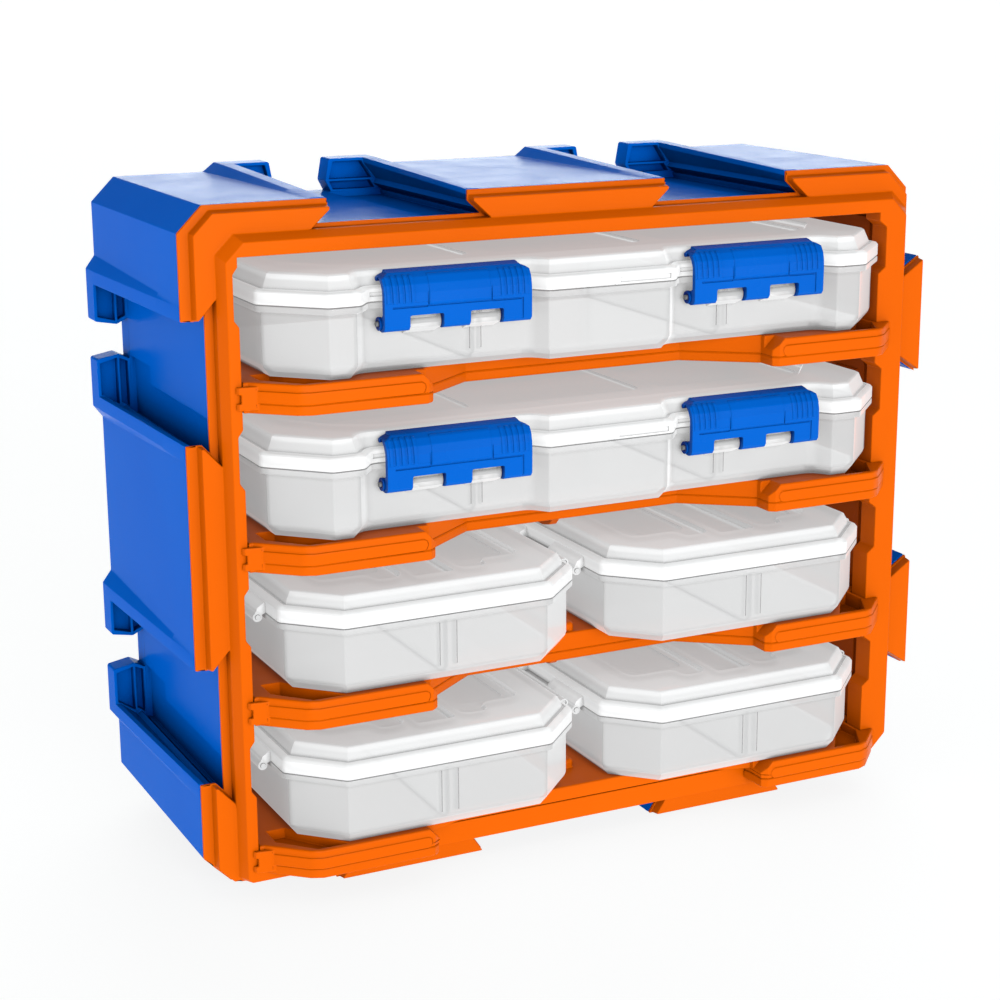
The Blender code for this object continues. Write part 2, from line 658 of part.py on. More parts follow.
def build():
    for obj in list(bpy.data.objects):
        bpy.data.objects.remove(obj, do_unlink=True)
    material("shell_blue", (0.0, 0.13, 0.62), 0.35)
    material("frame_orange", (1.0, 0.15, 0.0), 0.4)
    material("liner_orange", (0.75, 0.1, 0.0), 0.5)
    material("latch_blue", (0.0, 0.14, 0.68), 0.3)
    material("clear_body", (0.9, 0.92, 0.93), 0.15, 0.35)
    material("clear_lid", (0.93, 0.94, 0.95), 0.15, 0.35)
    material("pin_grey", (0.35, 0.36, 0.38), 0.4)
    material("pin_clear", (0.85, 0.86, 0.88), 0.3, 0.6)
    build_housing()
    build_front_frame()
    build_liner()
    for index, level in enumerate(LEVELS[:3]):
        shelf = build_shelf(index + 1, level)
        if index >= 1:
            add_guides(shelf, level, above=True)
        if index == 2:
            add_guides(shelf, level, above=False)
    build_floor_tray()
    for index, level in enumerate(LEVELS[:2]):
        build_wide_case(f"wide{index + 1}", level)
    for index, level in enumerate(LEVELS[2:]):
        for word, centre in zip(("left", "right"), SMALL_X):
            build_small_case(f"small{index + 1}_{word}", centre, level)
    for obj in bpy.data.objects:
        if obj.name.endswith("_pin") or "_pin_" in obj.name:
            smooth(obj)


build()
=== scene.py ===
"""Looks of the parts organizer: finer pieces, materials, floor, light and camera around the CAD frame."""

import json
import math

import bmesh
import bpy
from mathutils import Matrix, Vector


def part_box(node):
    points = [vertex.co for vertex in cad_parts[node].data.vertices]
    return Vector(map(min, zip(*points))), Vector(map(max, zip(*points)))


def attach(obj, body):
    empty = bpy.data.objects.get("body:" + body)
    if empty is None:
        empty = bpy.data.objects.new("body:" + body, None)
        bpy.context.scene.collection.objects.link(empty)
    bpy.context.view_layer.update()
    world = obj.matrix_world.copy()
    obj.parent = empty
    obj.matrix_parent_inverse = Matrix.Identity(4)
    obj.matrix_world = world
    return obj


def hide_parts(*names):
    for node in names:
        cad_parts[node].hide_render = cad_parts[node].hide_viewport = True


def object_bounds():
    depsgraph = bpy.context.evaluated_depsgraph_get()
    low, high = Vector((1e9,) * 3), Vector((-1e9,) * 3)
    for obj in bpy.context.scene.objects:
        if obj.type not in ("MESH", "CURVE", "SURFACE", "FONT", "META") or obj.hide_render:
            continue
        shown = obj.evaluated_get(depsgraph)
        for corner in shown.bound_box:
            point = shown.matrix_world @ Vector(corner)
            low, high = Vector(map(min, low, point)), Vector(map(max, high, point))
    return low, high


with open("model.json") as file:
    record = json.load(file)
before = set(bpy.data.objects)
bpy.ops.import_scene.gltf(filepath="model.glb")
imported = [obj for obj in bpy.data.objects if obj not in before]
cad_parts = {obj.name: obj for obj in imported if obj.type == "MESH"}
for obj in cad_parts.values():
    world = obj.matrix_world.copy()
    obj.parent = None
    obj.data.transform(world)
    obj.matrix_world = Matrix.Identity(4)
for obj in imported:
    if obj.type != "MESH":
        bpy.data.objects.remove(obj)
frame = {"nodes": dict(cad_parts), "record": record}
CAD_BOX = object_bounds()
MM = 0.001

# The working frame is in millimetres: x across from the bays' middle line, y back from the bezel's front
# face, z up. ORIGIN comes from the frame node, whose left face is at x = -188, whose front face is at y = 0
# and whose bottom tenons end at z = -21. LEVELS are the decks' heights, from the top.
FRAME_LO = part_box("front_frame")[0]
ORIGIN = Vector((FRAME_LO.x + 188.0 * MM, FRAME_LO.y, FRAME_LO.z + 21.0 * MM))
CASE_TAGS = ("wide1", "wide2", "small1_left", "small2_left")
LEVELS = [round((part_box(f"{tag}_tray")[0].z - ORIGIN.z) / MM - 0.3, 2) for tag in CASE_TAGS]

# The shell's box, and its dovetail channels: centres, half widths at the mouth, the rims' edge band, and how
# far the rims rise and widen towards the posts that close the channels at the back.
SIDE_L, SIDE_R, TOP, BOTTOM, CORNER = -188.0, 176.0, 287.0, -12.0, 11.0
BACK, SHELL_FRONT = 140.0, 12.0
CHANNEL_DEPTH, UNDERCUT, EDGE = 11.5, 9.5, 2.4
TOP_CHANNELS, TOP_HALF = (-89.5, 74.5), 32.5
SIDE_CHANNELS, SIDE_HALF = (213.0, 61.0), 26.3
HORN_RISE, HORN_RUN, BAND, LOW_RISE, HIGH_SHARE = 4.3, 11.0, 6.2, 0.25, 0.97
POST_FRONT, REACH = 128.4, 19.3
GROOVE, PANEL_HALF, PANEL_END = 2.5, 16.5, 97.0

# The tenons: height, flare, half widths at the root, and the side tenons' heights.
TENON_Z, TENON_FLARE = 9.0, 6.0
BOTTOM_TENON, SIDE_TENON, SIDE_TENON_Z = 30.5, 22.5, (214.0, 62.5)

# The front frame: lips of its channels (top, side), ring, depths of its steps, opening; then the liner.
BEZEL_LIPS, FLANGE_RAISE, FACE_SINK = (4.7, 6.8), 1.2, 3.4
RING_L, RING_R, RING_TOP, RING_BOTTOM = -171.0, 169.0, 272.0, -11.0
BLOCK_FRONT, FLANGE_FRONT = 5.4, 10.4
OPEN_L, OPEN_R, OPEN_TOP, OPEN_BOTTOM = -166.0, 154.0, 266.0, -1.0
LINER_L, LINER_R, LINER_TOP, LINER_FLOOR, LINER_BACK = -168.5, 160.3, 268.5, -2.0, 133.5

# The shelves' lips: inner end, face, height, how far back the shelf's middle lies, and roots on the bezel.
LIP_INNER, LIP_FRONT, LIP_HEIGHT, SETBACK = 85.5, -17.0, 13.3, 18.0
LIP_ROOT_L, LIP_ROOT_R = 163.5, 161.5

# The cases, with heights above their level: middles, corner radius, lid top, bores and places of the hinges.
WIDE_X, SMALL_X = -1.0, (-81.0, 77.0)
CASE_CORNER, LID_TOP, BORE = 4.2, 44.6, 1.25
HINGE_Z, FLAP_PIN, FLAP_RADIUS = 30.0, (75.0, 35.4), 2.0

# The draw latches: place on the case, edges, pin, and the notches in the lower edge.
LATCH_X, LATCH_HALF, PLATE_LEFT, PIVOT = 75.0, 35.5, -33.2, (-13.0, 22.2)
NOTCHES = ((-21.5, -6.0), (6.5, 22.0))

# Corners narrower than this stay sharp.
SHORTEST = 0.25

# The camera, fitted to the object's own edges: degrees to the right, down and rolled, and place in metres.
YAW, PITCH, ROLL = 25.907, 14.619, -0.32
LENS, SENSOR, EYE = 76.22, 36.0, (-0.4433, -0.8833, 0.4092)

# Area lights: place, size and watts.
LIGHTS = {"key": ((-0.3, -2.1, 0.6), (1.4, 0.8), 19.0),
          "front": ((0.7, -2.2, 0.4), (1.8, 0.8), 8.0),
          "side": ((-2.2, -0.1, 0.6), (1.0, 1.0), 3.0)}


# ---------------------------------------------------------------- materials
def node(tree, kind, **values):
    """A new shader node; a value is set as the node's own property, or else as the input of that name."""
    made = tree.nodes.new(kind)
    for key, value in values.items():
        if hasattr(made, key):
            setattr(made, key, value)
        else:
            made.inputs[key.replace("_", " ")].default_value = value
    return made


def noise(tree, scale, detail=3.0):
    """Noise in the object's own coordinates."""
    coords = node(tree, "ShaderNodeTexCoord")
    made = node(tree, "ShaderNodeTexNoise", Scale=scale, Detail=detail)
    tree.links.new(coords.outputs["Object"], made.inputs["Vector"])
    return made.outputs["Fac"]


def ranged(tree, source, from_low, from_high, low=0.0, high=1.0):
    """The source, clamped between two values and stretched to two others."""
    made = node(tree, "ShaderNodeMapRange")
    for name, value in (("From Min", from_low), ("From Max", from_high), ("To Min", low), ("To Max", high)):
        made.inputs[name].default_value = value
    tree.links.new(source, made.inputs["Value"])
    return made.outputs["Result"]


def spread(tree, source, low, high):
    """The middle of a noise's range, stretched from low to high."""
    return ranged(tree, source, 0.3, 0.7, low, high)


def tint(tree, source, dark, light):
    """A slow drift between two close colours."""
    ramp = node(tree, "ShaderNodeValToRGB")
    ramp.color_ramp.elements[0].color = (*dark, 1.0)
    ramp.color_ramp.elements[0].position = 0.35
    ramp.color_ramp.elements[1].color = (*light, 1.0)
    ramp.color_ramp.elements[1].position = 0.65
    tree.links.new(source, ramp.inputs["Fac"])
    return ramp.outputs["Color"]


def unshaded_share(tree, distance, low, high):
    """The mask of the painted shade: 1 in the open, 0 in cavities, where little open air is near."""
    open_air = node(tree, "ShaderNodeAmbientOcclusion", samples=8, Distance=distance)
    return ranged(tree, open_air.outputs["AO"], low, high)


def blended(tree, share, first, second):
    """From the first colour to the second, each a fixed colour or a socket."""
    mix = node(tree, "ShaderNodeMix", data_type="RGBA")
    sockets = [socket for socket in mix.inputs if socket.type == "RGBA"]
    for socket, colour in zip(sockets, (first, second)):
        if isinstance(colour, tuple):
            socket.default_value = (*colour, 1.0)
        else:
            tree.links.new(colour, socket)
    tree.links.new(share, mix.inputs["Factor"])
    return [socket for socket in mix.outputs if socket.type == "RGBA"][0]


def plastic(name, dark, light, painted_shade, roughness, specular, shade=(0.3, 0.75)):
    """Moulded plastic: slow colour drift, painted shade (a darker colour) in cavities, varied gloss and a
    fine grain.

    shade gives the shares of open air at which the painted shade colour starts to fade and is gone.
    """
    mat = bpy.data.materials.new(name)
    mat.use_nodes = True
    tree = mat.node_tree
    bsdf = tree.nodes["Principled BSDF"]
    bsdf.inputs["Specular IOR Level"].default_value = specular
    drift = tint(tree, noise(tree, 11.0), dark, light)
    # Painted shade: the base colour turns to a darker colour in cavities, where little open air is near.
    colour = blended(tree, unshaded_share(tree, 0.013, *shade), painted_shade, drift)
    tree.links.new(colour, bsdf.inputs["Base Color"])
    gloss = spread(tree, noise(tree, 60.0), roughness * 0.85, roughness * 1.2)
    tree.links.new(gloss, bsdf.inputs["Roughness"])
    bump = node(tree, "ShaderNodeBump", Strength=0.05, Distance=0.0003)
    tree.links.new(noise(tree, 1500.0, 2.0), bump.inputs["Height"])
    tree.links.new(bump.outputs["Normal"], bsdf.inputs["Normal"])
    return mat


def clear_plastic(name, body, edge, see, solid, roughness, glow, specular):
    """Milky polypropylene: denser where the wall is seen edge on, with painted shade: greyer edge on and
    darker in cavities.

    see and solid are the opacity seen straight on and edge on; glow is painted light, an even emission that
    stands in for the light scattered inside.
    """
    mat = bpy.data.materials.new(name)
    mat.use_nodes = True
    tree = mat.node_tree
    bsdf = tree.nodes["Principled BSDF"]
    bsdf.inputs["Specular IOR Level"].default_value = specular
    bsdf.inputs["Emission Strength"].default_value = glow
    facing = node(tree, "ShaderNodeLayerWeight", Blend=0.35)
    milky = tint(tree, noise(tree, 14.0), body, tuple(c * 0.97 for c in body))
    # Painted shade in cavities, where little open air is near: it darkens the colour and dims the glow.
    share = unshaded_share(tree, 0.0035, 0.35, 0.85)
    # Painted shade: the colour turns greyer, towards the edge colour, where the wall is seen edge on.
    wall = blended(tree, facing.outputs["Facing"], milky, edge)
    colour = blended(tree, share, tuple(c * 0.35 for c in body), wall)
    tree.links.new(colour, bsdf.inputs["Base Color"])
    # The glow is painted light; its colour is dimmed in cavities as painted shade.
    painted_glow_colour = blended(tree, share, (0.2, 0.2, 0.2), (1.0, 1.0, 1.0))
    tree.links.new(painted_glow_colour, bsdf.inputs["Emission Color"])
    alpha = spread(tree, facing.outputs["Facing"], see, solid)
    tree.links.new(alpha, bsdf.inputs["Alpha"])
    gloss = spread(tree, noise(tree, 45.0), roughness * 0.8, roughness * 1.25)
    tree.links.new(gloss, bsdf.inputs["Roughness"])
    return mat


# Each plastic's third colour is painted shade, put into its cavities.
BLUE = plastic("blue_shell_plastic", (0.0, 0.180, 0.97), (0.0, 0.192, 1.0), (0.0, 0.05, 0.42), 0.2, 0.006,
               shade=(0.2, 0.52))
ORANGE = plastic("orange_frame_plastic", (0.97, 0.145, 0.0), (1.0, 0.155, 0.0), (0.60, 0.080, 0.0), 0.34,
                 0.05, shade=(0.1, 0.5))
# The liner's orange is the frame's orange painted darker, as painted shade for the inside walls; its third
# colour is painted shade for cavities.
SHADED_ORANGE = plastic("orange_liner_painted_shade_plastic", (0.52, 0.070, 0.0), (0.58, 0.080, 0.0), (0.40, 0.052, 0.0), 0.5, 0.05)
LATCH = plastic("blue_latch_plastic", (0.0, 0.135, 0.68), (0.0, 0.148, 0.73), (0.0, 0.022, 0.26), 0.26, 0.05)
# The second colour of each clear plastic is painted shade for walls seen edge on; glow is painted light.
CLEAR = clear_plastic("clear_tray_plastic", (0.95, 0.955, 0.96), (0.62, 0.625, 0.63), see=0.38, solid=0.9,
                      roughness=0.08, glow=0.36, specular=0.34)
CLEAR_LID = clear_plastic("clear_lid_plastic", (0.96, 0.965, 0.97), (0.60, 0.605, 0.61), see=0.62, solid=0.95,
                          roughness=0.07, glow=0.45, specular=0.18)
PIN = plastic("pin_grey_plastic", (0.30, 0.31, 0.33), (0.36, 0.37, 0.39), (0.2, 0.2, 0.21), 0.4, 0.4)


# ---------------------------------------------------------------- mesh helpers
def finish(name, bm, mat):
    """An object in the scene from a bmesh."""
    bmesh.ops.recalc_face_normals(bm, faces=bm.faces[:])
    mesh = bpy.data.meshes.new(name)
    bm.to_mesh(mesh)
    bm.free()
    obj = bpy.data.objects.new(name, mesh)
    bpy.context.scene.collection.objects.link(obj)
    obj.data.materials.append(mat)
    return obj


def loft(name, rings, mat):
    """A closed body through rings of equal length, capped at both ends."""
    bm = bmesh.new()
    rows = [[bm.verts.new(ORIGIN + Vector(p) * MM) for p in ring] for ring in rings]
    count = len(rings[0])
    for low, high in zip(rows, rows[1:]):
        for i in range(count):
            j = (i + 1) % count
            bm.faces.new((low[i], low[j], high[j], high[i]))
    bm.faces.new(rows[0][::-1])
    bm.faces.new(rows[-1])
    return finish(name, bm, mat)


def along_x(name, profile, x0, x1, mat):
    """A prism of a (y, z) profile."""
    return loft(name, [[(x, y, z) for y, z in profile] for x in (x0, x1)], mat)


def along_y(name, profile, y0, y1, mat):
    """A prism of an (x, z) profile."""
    return loft(name, [[(x, y, z) for x, z in profile] for y in (y0, y1)], mat)


def along_z(name, profile, z0, z1, mat):
    """A prism of an (x, y) profile."""
    return loft(name, [[(x, y, z) for x, y in profile] for z in (z0, z1)], mat)


def upright(rows):
    """Rings from (front outline, depth y) rows."""
    return [[(x, y, z) for x, z in ring] for ring, y in rows]


def terraced(plan, levels, lift=0.0):
    """Rings from one plan outline, moved inwards by the inset at each (inset, z) level."""
    return [[(x, y, lift + z) for x, y in inset(plan, d)] for d, z in levels]


def block(name, lo, hi, mat):
    profile = [(lo[0], lo[1]), (hi[0], lo[1]), (hi[0], hi[1]), (lo[0], hi[1])]
    return along_z(name, profile, lo[2], hi[2], mat)


def circle(centre, radius, count=24):
    steps = [2 * math.pi * (i + 0.5) / count for i in range(count)]
    return [(centre[0] + radius * math.cos(a), centre[1] + radius * math.sin(a)) for a in steps]


def rod(name, axis, span, centre, radius, mat):
    """A round bar along x or y."""
    make = along_x if axis == "x" else along_y
    return make(name, circle(centre, radius), *span, mat)


def inset(poly, distance):
    """The counter-clockwise polygon moved inwards; distance is a number, or a function of an edge's ends."""
    gap = distance if callable(distance) else lambda a, b: distance
    out = []
    for i, b in enumerate(poly):
        a, c = Vector(poly[i - 1]), Vector(poly[(i + 1) % len(poly)])
        b = Vector(b)
        e, f = (b - a).normalized(), (c - b).normalized()
        n, m = Vector((-e.y, e.x)), Vector((-f.y, f.x))
        p, q = gap(a, b), gap(b, c)
        cross = n.x * m.y - n.y * m.x
        if abs(cross) < 1e-4:
            out.append(tuple(b + n * p))
        else:
            out.append((b.x + (p * m.y - q * n.y) / cross, b.y + (q * n.x - p * m.x) / cross))
    return out


def arc(a, b, c, radius, steps):
    """Points that round the corner b of the path a, b, c, using less than half of either edge."""
    a, b, c = Vector(a), Vector(b), Vector(c)
    e, f, most, least = b - a, c - b, 0.46, 0.002
    turn = e.angle(f, 0.0)
    used = max(min(radius * math.tan(turn / 2.0), e.length * most, f.length * most), least)
    p, q = b - e.normalized() * used, b + f.normalized() * used
    out = []
    for k in range(steps + 1):
        t = k / steps
        out.append(tuple(p * (1 - t) ** 2 + b * 2 * t * (1 - t) + q * t * t))
    return out


def rounded(poly, radius, steps=3, shrink=0.0):
    """The polygon with rounded corners; shrink is how far it was moved inwards since the radius was named."""
    out = []
    for i, b in enumerate(poly):
        a, c = Vector(poly[i - 1]), Vector(poly[(i + 1) % len(poly)])
        e, f = Vector(b) - a, c - Vector(b)
        convex = e.x * f.y - e.y * f.x > 0
        r = max(radius - shrink, 0.5) if convex else radius + shrink
        out += arc(a, b, c, r, steps)
    return out


def soften(path, radius=0.5, steps=2):
    """An open path with its inner corners rounded."""
    out = [tuple(path[0])]
    for a, b, c in zip(path, path[1:], path[2:]):
        corner = arc(a, b, c, radius, steps)
        width = (Vector(corner[0]) - Vector(corner[-1])).length
        out += corner if width > SHORTEST else [tuple(b)]
    return out + [tuple(path[-1])]


def stack(name, poly, levels, mat, fillet):
    """A body from (inset, z) levels of one case outline, with rounded upright and level edges."""
    rings = []
    for d, z in soften(levels, fillet):
        rings.append([(x, y, z) for x, y in rounded(inset(poly, d), CASE_CORNER, 3, d)])
    return loft(name, rings, mat)


def swap(obj, mesh):
    """Gives the object its finished mesh, without modifiers."""
    old = obj.data
    obj.modifiers.clear()
    obj.data = mesh
    bpy.data.meshes.remove(old)


def bake(obj):
    graph = bpy.context.evaluated_depsgraph_get()
    swap(obj, bpy.data.meshes.new_from_object(obj.evaluated_get(graph)))
    return obj


def combine(obj, tool, operation):
    """Boolean with a tool object, which is used up."""
    mod = obj.modifiers.new("tool", "BOOLEAN")
    mod.operation = operation
    mod.solver = "EXACT"
    mod.object = tool
    bake(obj)
    bm = bmesh.new()
    bm.from_mesh(obj.data)
    bmesh.ops.remove_doubles(bm, verts=bm.verts[:], dist=0.0000005)
    bm.to_mesh(obj.data)
    bm.free()
    mesh = tool.data
    bpy.data.objects.remove(tool)
    bpy.data.meshes.remove(mesh)
    return obj


def cut(obj, tool):
    return combine(obj, tool, "DIFFERENCE")


def add(obj, tool):
    return combine(obj, tool, "UNION")


def split_flats(obj):
    """Triangulate the many-sided flats, so that rounding their edges can't fold them over."""
    bm = bmesh.new()
    bm.from_mesh(obj.data)
    bmesh.ops.triangulate(bm, faces=[face for face in bm.faces if len(face.verts) > 4])
    bm.to_mesh(obj.data)
    bm.free()


def polish(obj, width=0.0, segments=2, angle=28.0):
    """Round the edges by a width in millimetres, then shade so that flats stay flat."""
    if width:
        split_flats(obj)
        mod = obj.modifiers.new("edges", "BEVEL")
        mod.width = width * MM
        mod.segments = segments
        mod.limit_method = "ANGLE"
        mod.angle_limit = math.radians(angle)
        mod.use_clamp_overlap = False
        bake(obj)
    obj.data.shade_smooth()
    obj.data.set_sharp_from_angle(angle=math.radians(42.0))
    mod = obj.modifiers.new("flats", "WEIGHTED_NORMAL")
    mod.keep_sharp = True
    return obj


def place(obj, body, *nodes):
    """obj stands for CAD nodes and rides on their body."""
    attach(obj, body)
    if nodes:
        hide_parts(*nodes)
    return obj


def copy(obj, name, x, z):
    """A copy moved across and up, with the same shading."""
    mesh = obj.data.copy()
    mesh.transform(Matrix.Translation(Vector((x, 0.0, z)) * MM))
    made = bpy.data.objects.new(name, mesh)
    bpy.context.scene.collection.objects.link(made)
    for mod in obj.modifiers:
        twin = made.modifiers.new(mod.name, mod.type)
        twin.keep_sharp = True
    return made


def drop(obj):
    mesh = obj.data
    bpy.data.objects.remove(obj)
    bpy.data.meshes.remove(mesh)


# ---------------------------------------------------------------- rack
def channel(centre, half, edge, turn, reach=0.0, rise=0.0, thick=0.0, sink=0.0):
    """Outline of one dovetail channel, from (along, outwards) points that turn places on the top or the side.

    rise is the rims' height above the edge, and reach how far a closing post narrows the channel. thick gives
    the bezel's plainer channel, with lips that thick and a floor above the shell's, or sink lower.
    """
    lip, depth = half - reach, CHANNEL_DEPTH
    run = BAND + (HORN_RUN - BAND) * rise / HORN_RISE + 0.9
    side = [(half + run, 0.0), (half + BAND, rise)]
    if thick:
        floor = FLANGE_RAISE - depth - sink
        slope = (-floor - thick) * 1.1
        side = [(lip, 0.0), (lip, -thick), (lip + slope, floor)]
    elif reach:
        side += [(lip + 2.6, rise), (lip + 1.8, rise - 0.6), (lip, -6.2), (lip + 0.3, -7.0)]
        side += [(lip + 2.6, -depth)]
    else:
        side += [(lip, rise), (lip, rise - EDGE), (lip + 6.6, -6.2), (lip + 5.0, -8.2)]
        side += [(half + UNDERCUT, -depth)]
    points = [(centre - a, edge + o) for a, o in side] + [(centre + a, edge + o) for a, o in side[::-1]]
    return [turn(a, o) for a, o in points]


def tenon(centre, half, edge, turn, root=0.0):
    """Outline of one tenon, which starts root below the wall it stands on."""
    points = [(-half, -root), (-half - TENON_FLARE, TENON_Z), (half + TENON_FLARE, TENON_Z), (half, -root)]
    return [turn(centre + a, edge + o) for a, o in points]


def bottom_tenon(x, root=0.0):
    return tenon(x, BOTTOM_TENON, -BOTTOM, lambda a, o: (a, -o), root)


def side_tenon(z, root=0.0):
    return tenon(z, SIDE_TENON, SIDE_R, lambda a, o: (o, a), root)


def rack_profile(reach=0.0, rise=0.0, tenons=True, lips=(0.0, 0.0), sink=0.0):
    """Front outline of the rack, counter-clockwise seen from the front, from the lower left corner."""
    points = [(SIDE_L + 12.0, BOTTOM)]
    if tenons:
        for x in TOP_CHANNELS:
            points += bottom_tenon(x)
    points += [(SIDE_R - 13.0, BOTTOM), (SIDE_R, BOTTOM + 13.0)]
    if tenons:
        for z in SIDE_TENON_Z[::-1]:
            points += side_tenon(z)
    points += [(SIDE_R, TOP - CORNER), (SIDE_R - CORNER, TOP)]
    for x in TOP_CHANNELS[::-1]:
        points += channel(-x, TOP_HALF, TOP, lambda a, o: (-a, o), reach, rise, lips[0], sink)
    points += [(SIDE_L + CORNER, TOP), (SIDE_L, TOP - CORNER)]
    for z in SIDE_CHANNELS:
        points += channel(-z, SIDE_HALF, -SIDE_L, lambda a, o: (-o, -a), reach, rise, lips[1], sink)
    return points + [(SIDE_L, 0.0)]


def post_pockets(shell):
    """Hollows in the front of the posts that close the channels, above and below a thin rib."""
    for centre, half, edge, turn, _ in channel_runs():
        near, top, low = half - REACH + 1.6, HORN_RISE - 1.6, 0.9 - CHANNEL_DEPTH
        outer = [(near + 2.4, top), (half - 0.8, top), (half + 4.5, -5.6), (near + 0.2, -5.6)]
        inner = [(near + 0.4, -6.7), (half + 3.5, -6.7), (half + 6.0, low), (near + 2.2, low)]
        for side in (-1, 1):
            for shape in (outer, inner):
                section = [turn(centre + side * a, edge + o) for a, o in shape]
                cut(shell, along_y("tool", section, POST_FRONT - 2.0, POST_FRONT + 5.0, BLUE))


def channel_runs():
    """Each dovetail channel of the shell: its centre, half width, edge, turn and the side with the groove."""
    runs = [(-x, TOP_HALF, TOP, lambda a, o: (-a, o), -1) for x in TOP_CHANNELS]
    return runs + [(-z, SIDE_HALF, -SIDE_L, lambda a, o: (-o, -a), 1) for z in SIDE_CHANNELS]


def floor_grooves(shell):
    """A groove in each channel's floor along one undercut, widened in front of the post."""
    top, low = 0.8 - CHANNEL_DEPTH, -CHANNEL_DEPTH - GROOVE
    for centre, half, edge, turn, side in channel_runs():
        near = half - REACH + 1.0
        band = [(PANEL_HALF, top), (half + 8.0, top), (half + 9.2, low), (PANEL_HALF, low)]
        pit = [(near, top), (PANEL_HALF + 2.0, top), (PANEL_HALF + 2.0, low), (near, low)]
        for shape, start in ((band, SHELL_FRONT + 2.0), (pit, PANEL_END)):
            section = [turn(centre + side * a, edge + o) for a, o in shape]
            cut(shell, along_y("tool", section, start, POST_FRONT + 0.3, BLUE))


def back_fields(shell):
    """Shallow moulded fields in the back, with stiffening ribs left between them."""
    columns, rows, rib, depth = 3, 2, 4.0, 1.2
    left, low = SIDE_L + 14.0, 2.0
    wide, tall = (SIDE_R - 14.0 - left) / columns, 262.0 / rows
    for i in range(columns):
        for j in range(rows):
            x0, x1 = left + i * wide + rib, left + (i + 1) * wide - rib
            z0, z1 = low + j * tall + rib, low + (j + 1) * tall - rib
            field = rounded([(x0, z0), (x1, z0), (x1, z1), (x0, z1)], 5.0, 4)
            cut(shell, along_y("tool", field, BACK - depth, BACK + 2.0, BLUE))


def build_shell():
    """The blue shell: channels whose rims rise towards the back, tenons, and a hollow for the liner."""
    rows = []
    for y in (SHELL_FRONT + 0.2, 40.0, 70.0, 100.0, POST_FRONT):
        share = (y - SHELL_FRONT) / (POST_FRONT - SHELL_FRONT)
        rise = LOW_RISE + (HORN_RISE * HIGH_SHARE - LOW_RISE) * share
        rows.append((rack_profile(rise=rise, tenons=False), y))
    for y in (POST_FRONT + 0.6, BACK):
        rows.append((rack_profile(REACH, HORN_RISE * (HIGH_SHARE if y < BACK else 1.0), False), y))
    shell = loft("shell", upright(rows), BLUE)
    for shape in [bottom_tenon(x, 1.0) for x in TOP_CHANNELS] + [side_tenon(z, 1.0) for z in SIDE_TENON_Z]:
        add(shell, along_y("tool", shape, SHELL_FRONT + 0.2, 128.0, BLUE))
    lo = (LINER_L - 2.5, SHELL_FRONT - 5.0, LINER_FLOOR - 2.5)
    cut(shell, block("tool", lo, (SIDE_R - 5.0, BACK - 4.0, TOP - CHANNEL_DEPTH - 4.0), BLUE))
    floor_grooves(shell)
    post_pockets(shell)
    back_fields(shell)
    polish(shell, 0.35, 2, 30.0)
    return place(shell, "rack", "housing")


def step_width(wide, tall, rest):
    """How far each edge of the rack outline steps in: more on the outer left side and the top."""
    def gap(a, b):
        near = 0.01
        outer_left = a.x < SIDE_L + near and b.x < SIDE_L + near
        outer_top = a.y > TOP - near and b.y > TOP - near
        corner = abs(abs(b.x - a.x) - CORNER) < near and abs(abs(b.y - a.y) - CORNER) < near
        right = a.x > SIDE_R - near and abs(b.x - SIDE_R) < near and abs(b.y - a.y) > 20.0
        if outer_left:
            return wide
        if corner:
            return (wide + tall) / 2.0
        return tall if outer_top or right else rest
    return gap


def ring_outline(grow):
    """The bezel's raised ring, grown outwards on three sides."""
    low, c = 13.0, 8.0
    left, right, top = RING_L - grow, RING_R + grow, RING_TOP + grow
    return [(left + 2.0, RING_BOTTOM), (right - low, RING_BOTTOM), (right, RING_BOTTOM + low),
            (right, top - c), (right - c, top), (left + c, top), (left, top - c), (left, RING_BOTTOM + 2.0)]


def opening_outline():
    """The bezel's opening, relieved at each level where the case rims pass."""
    right, left = [], []
    for level in LEVELS[::-1]:
        low, high = level + 23.0, min(level + 49.0, OPEN_TOP - 4.0)
        for x, out in ((OPEN_R, 4.0), (OPEN_L, -2.2)):
            bump = [(x, low), (x + out, low + 3.0), (x + out, high - 3.0), (x, high)]
            if out > 0:
                right += bump
            else:
                left += bump
    sill, head = [(OPEN_L, OPEN_BOTTOM), (OPEN_R, OPEN_BOTTOM)], [(OPEN_R, OPEN_TOP), (OPEN_L, OPEN_TOP)]
    return sill + right + head + left[::-1]


def build_bezel():
    """The orange front frame: a flange on the shell, stepped blocks at the channels, and a raised ring."""
    outer = rack_profile(lips=BEZEL_LIPS)
    block_outline = rack_profile(lips=BEZEL_LIPS, sink=FACE_SINK)
    rows = [(inset(block_outline, step_width(5.4, 3.1, 0.8)), BLOCK_FRONT),
            (inset(block_outline, step_width(4.6, 2.2, 0.4)), FLANGE_FRONT + 0.5)]
    bezel = loft("bezel", upright(rows), ORANGE)
    add(bezel, along_y("tool", outer, FLANGE_FRONT, SHELL_FRONT, ORANGE))
    wide_ring = ring_outline(3.0)
    rows = [(wide_ring, SHELL_FRONT - 1.0), (wide_ring, BLOCK_FRONT), (ring_outline(0.0), 0.0)]
    add(bezel, loft("tool", upright(rows), ORANGE))
    cut(bezel, along_y("tool", opening_outline(), -5.0, SHELL_FRONT + 5.0, ORANGE))
    polish(bezel, 0.5, 2, 25.0)
    return place(bezel, "rack", "front_frame")


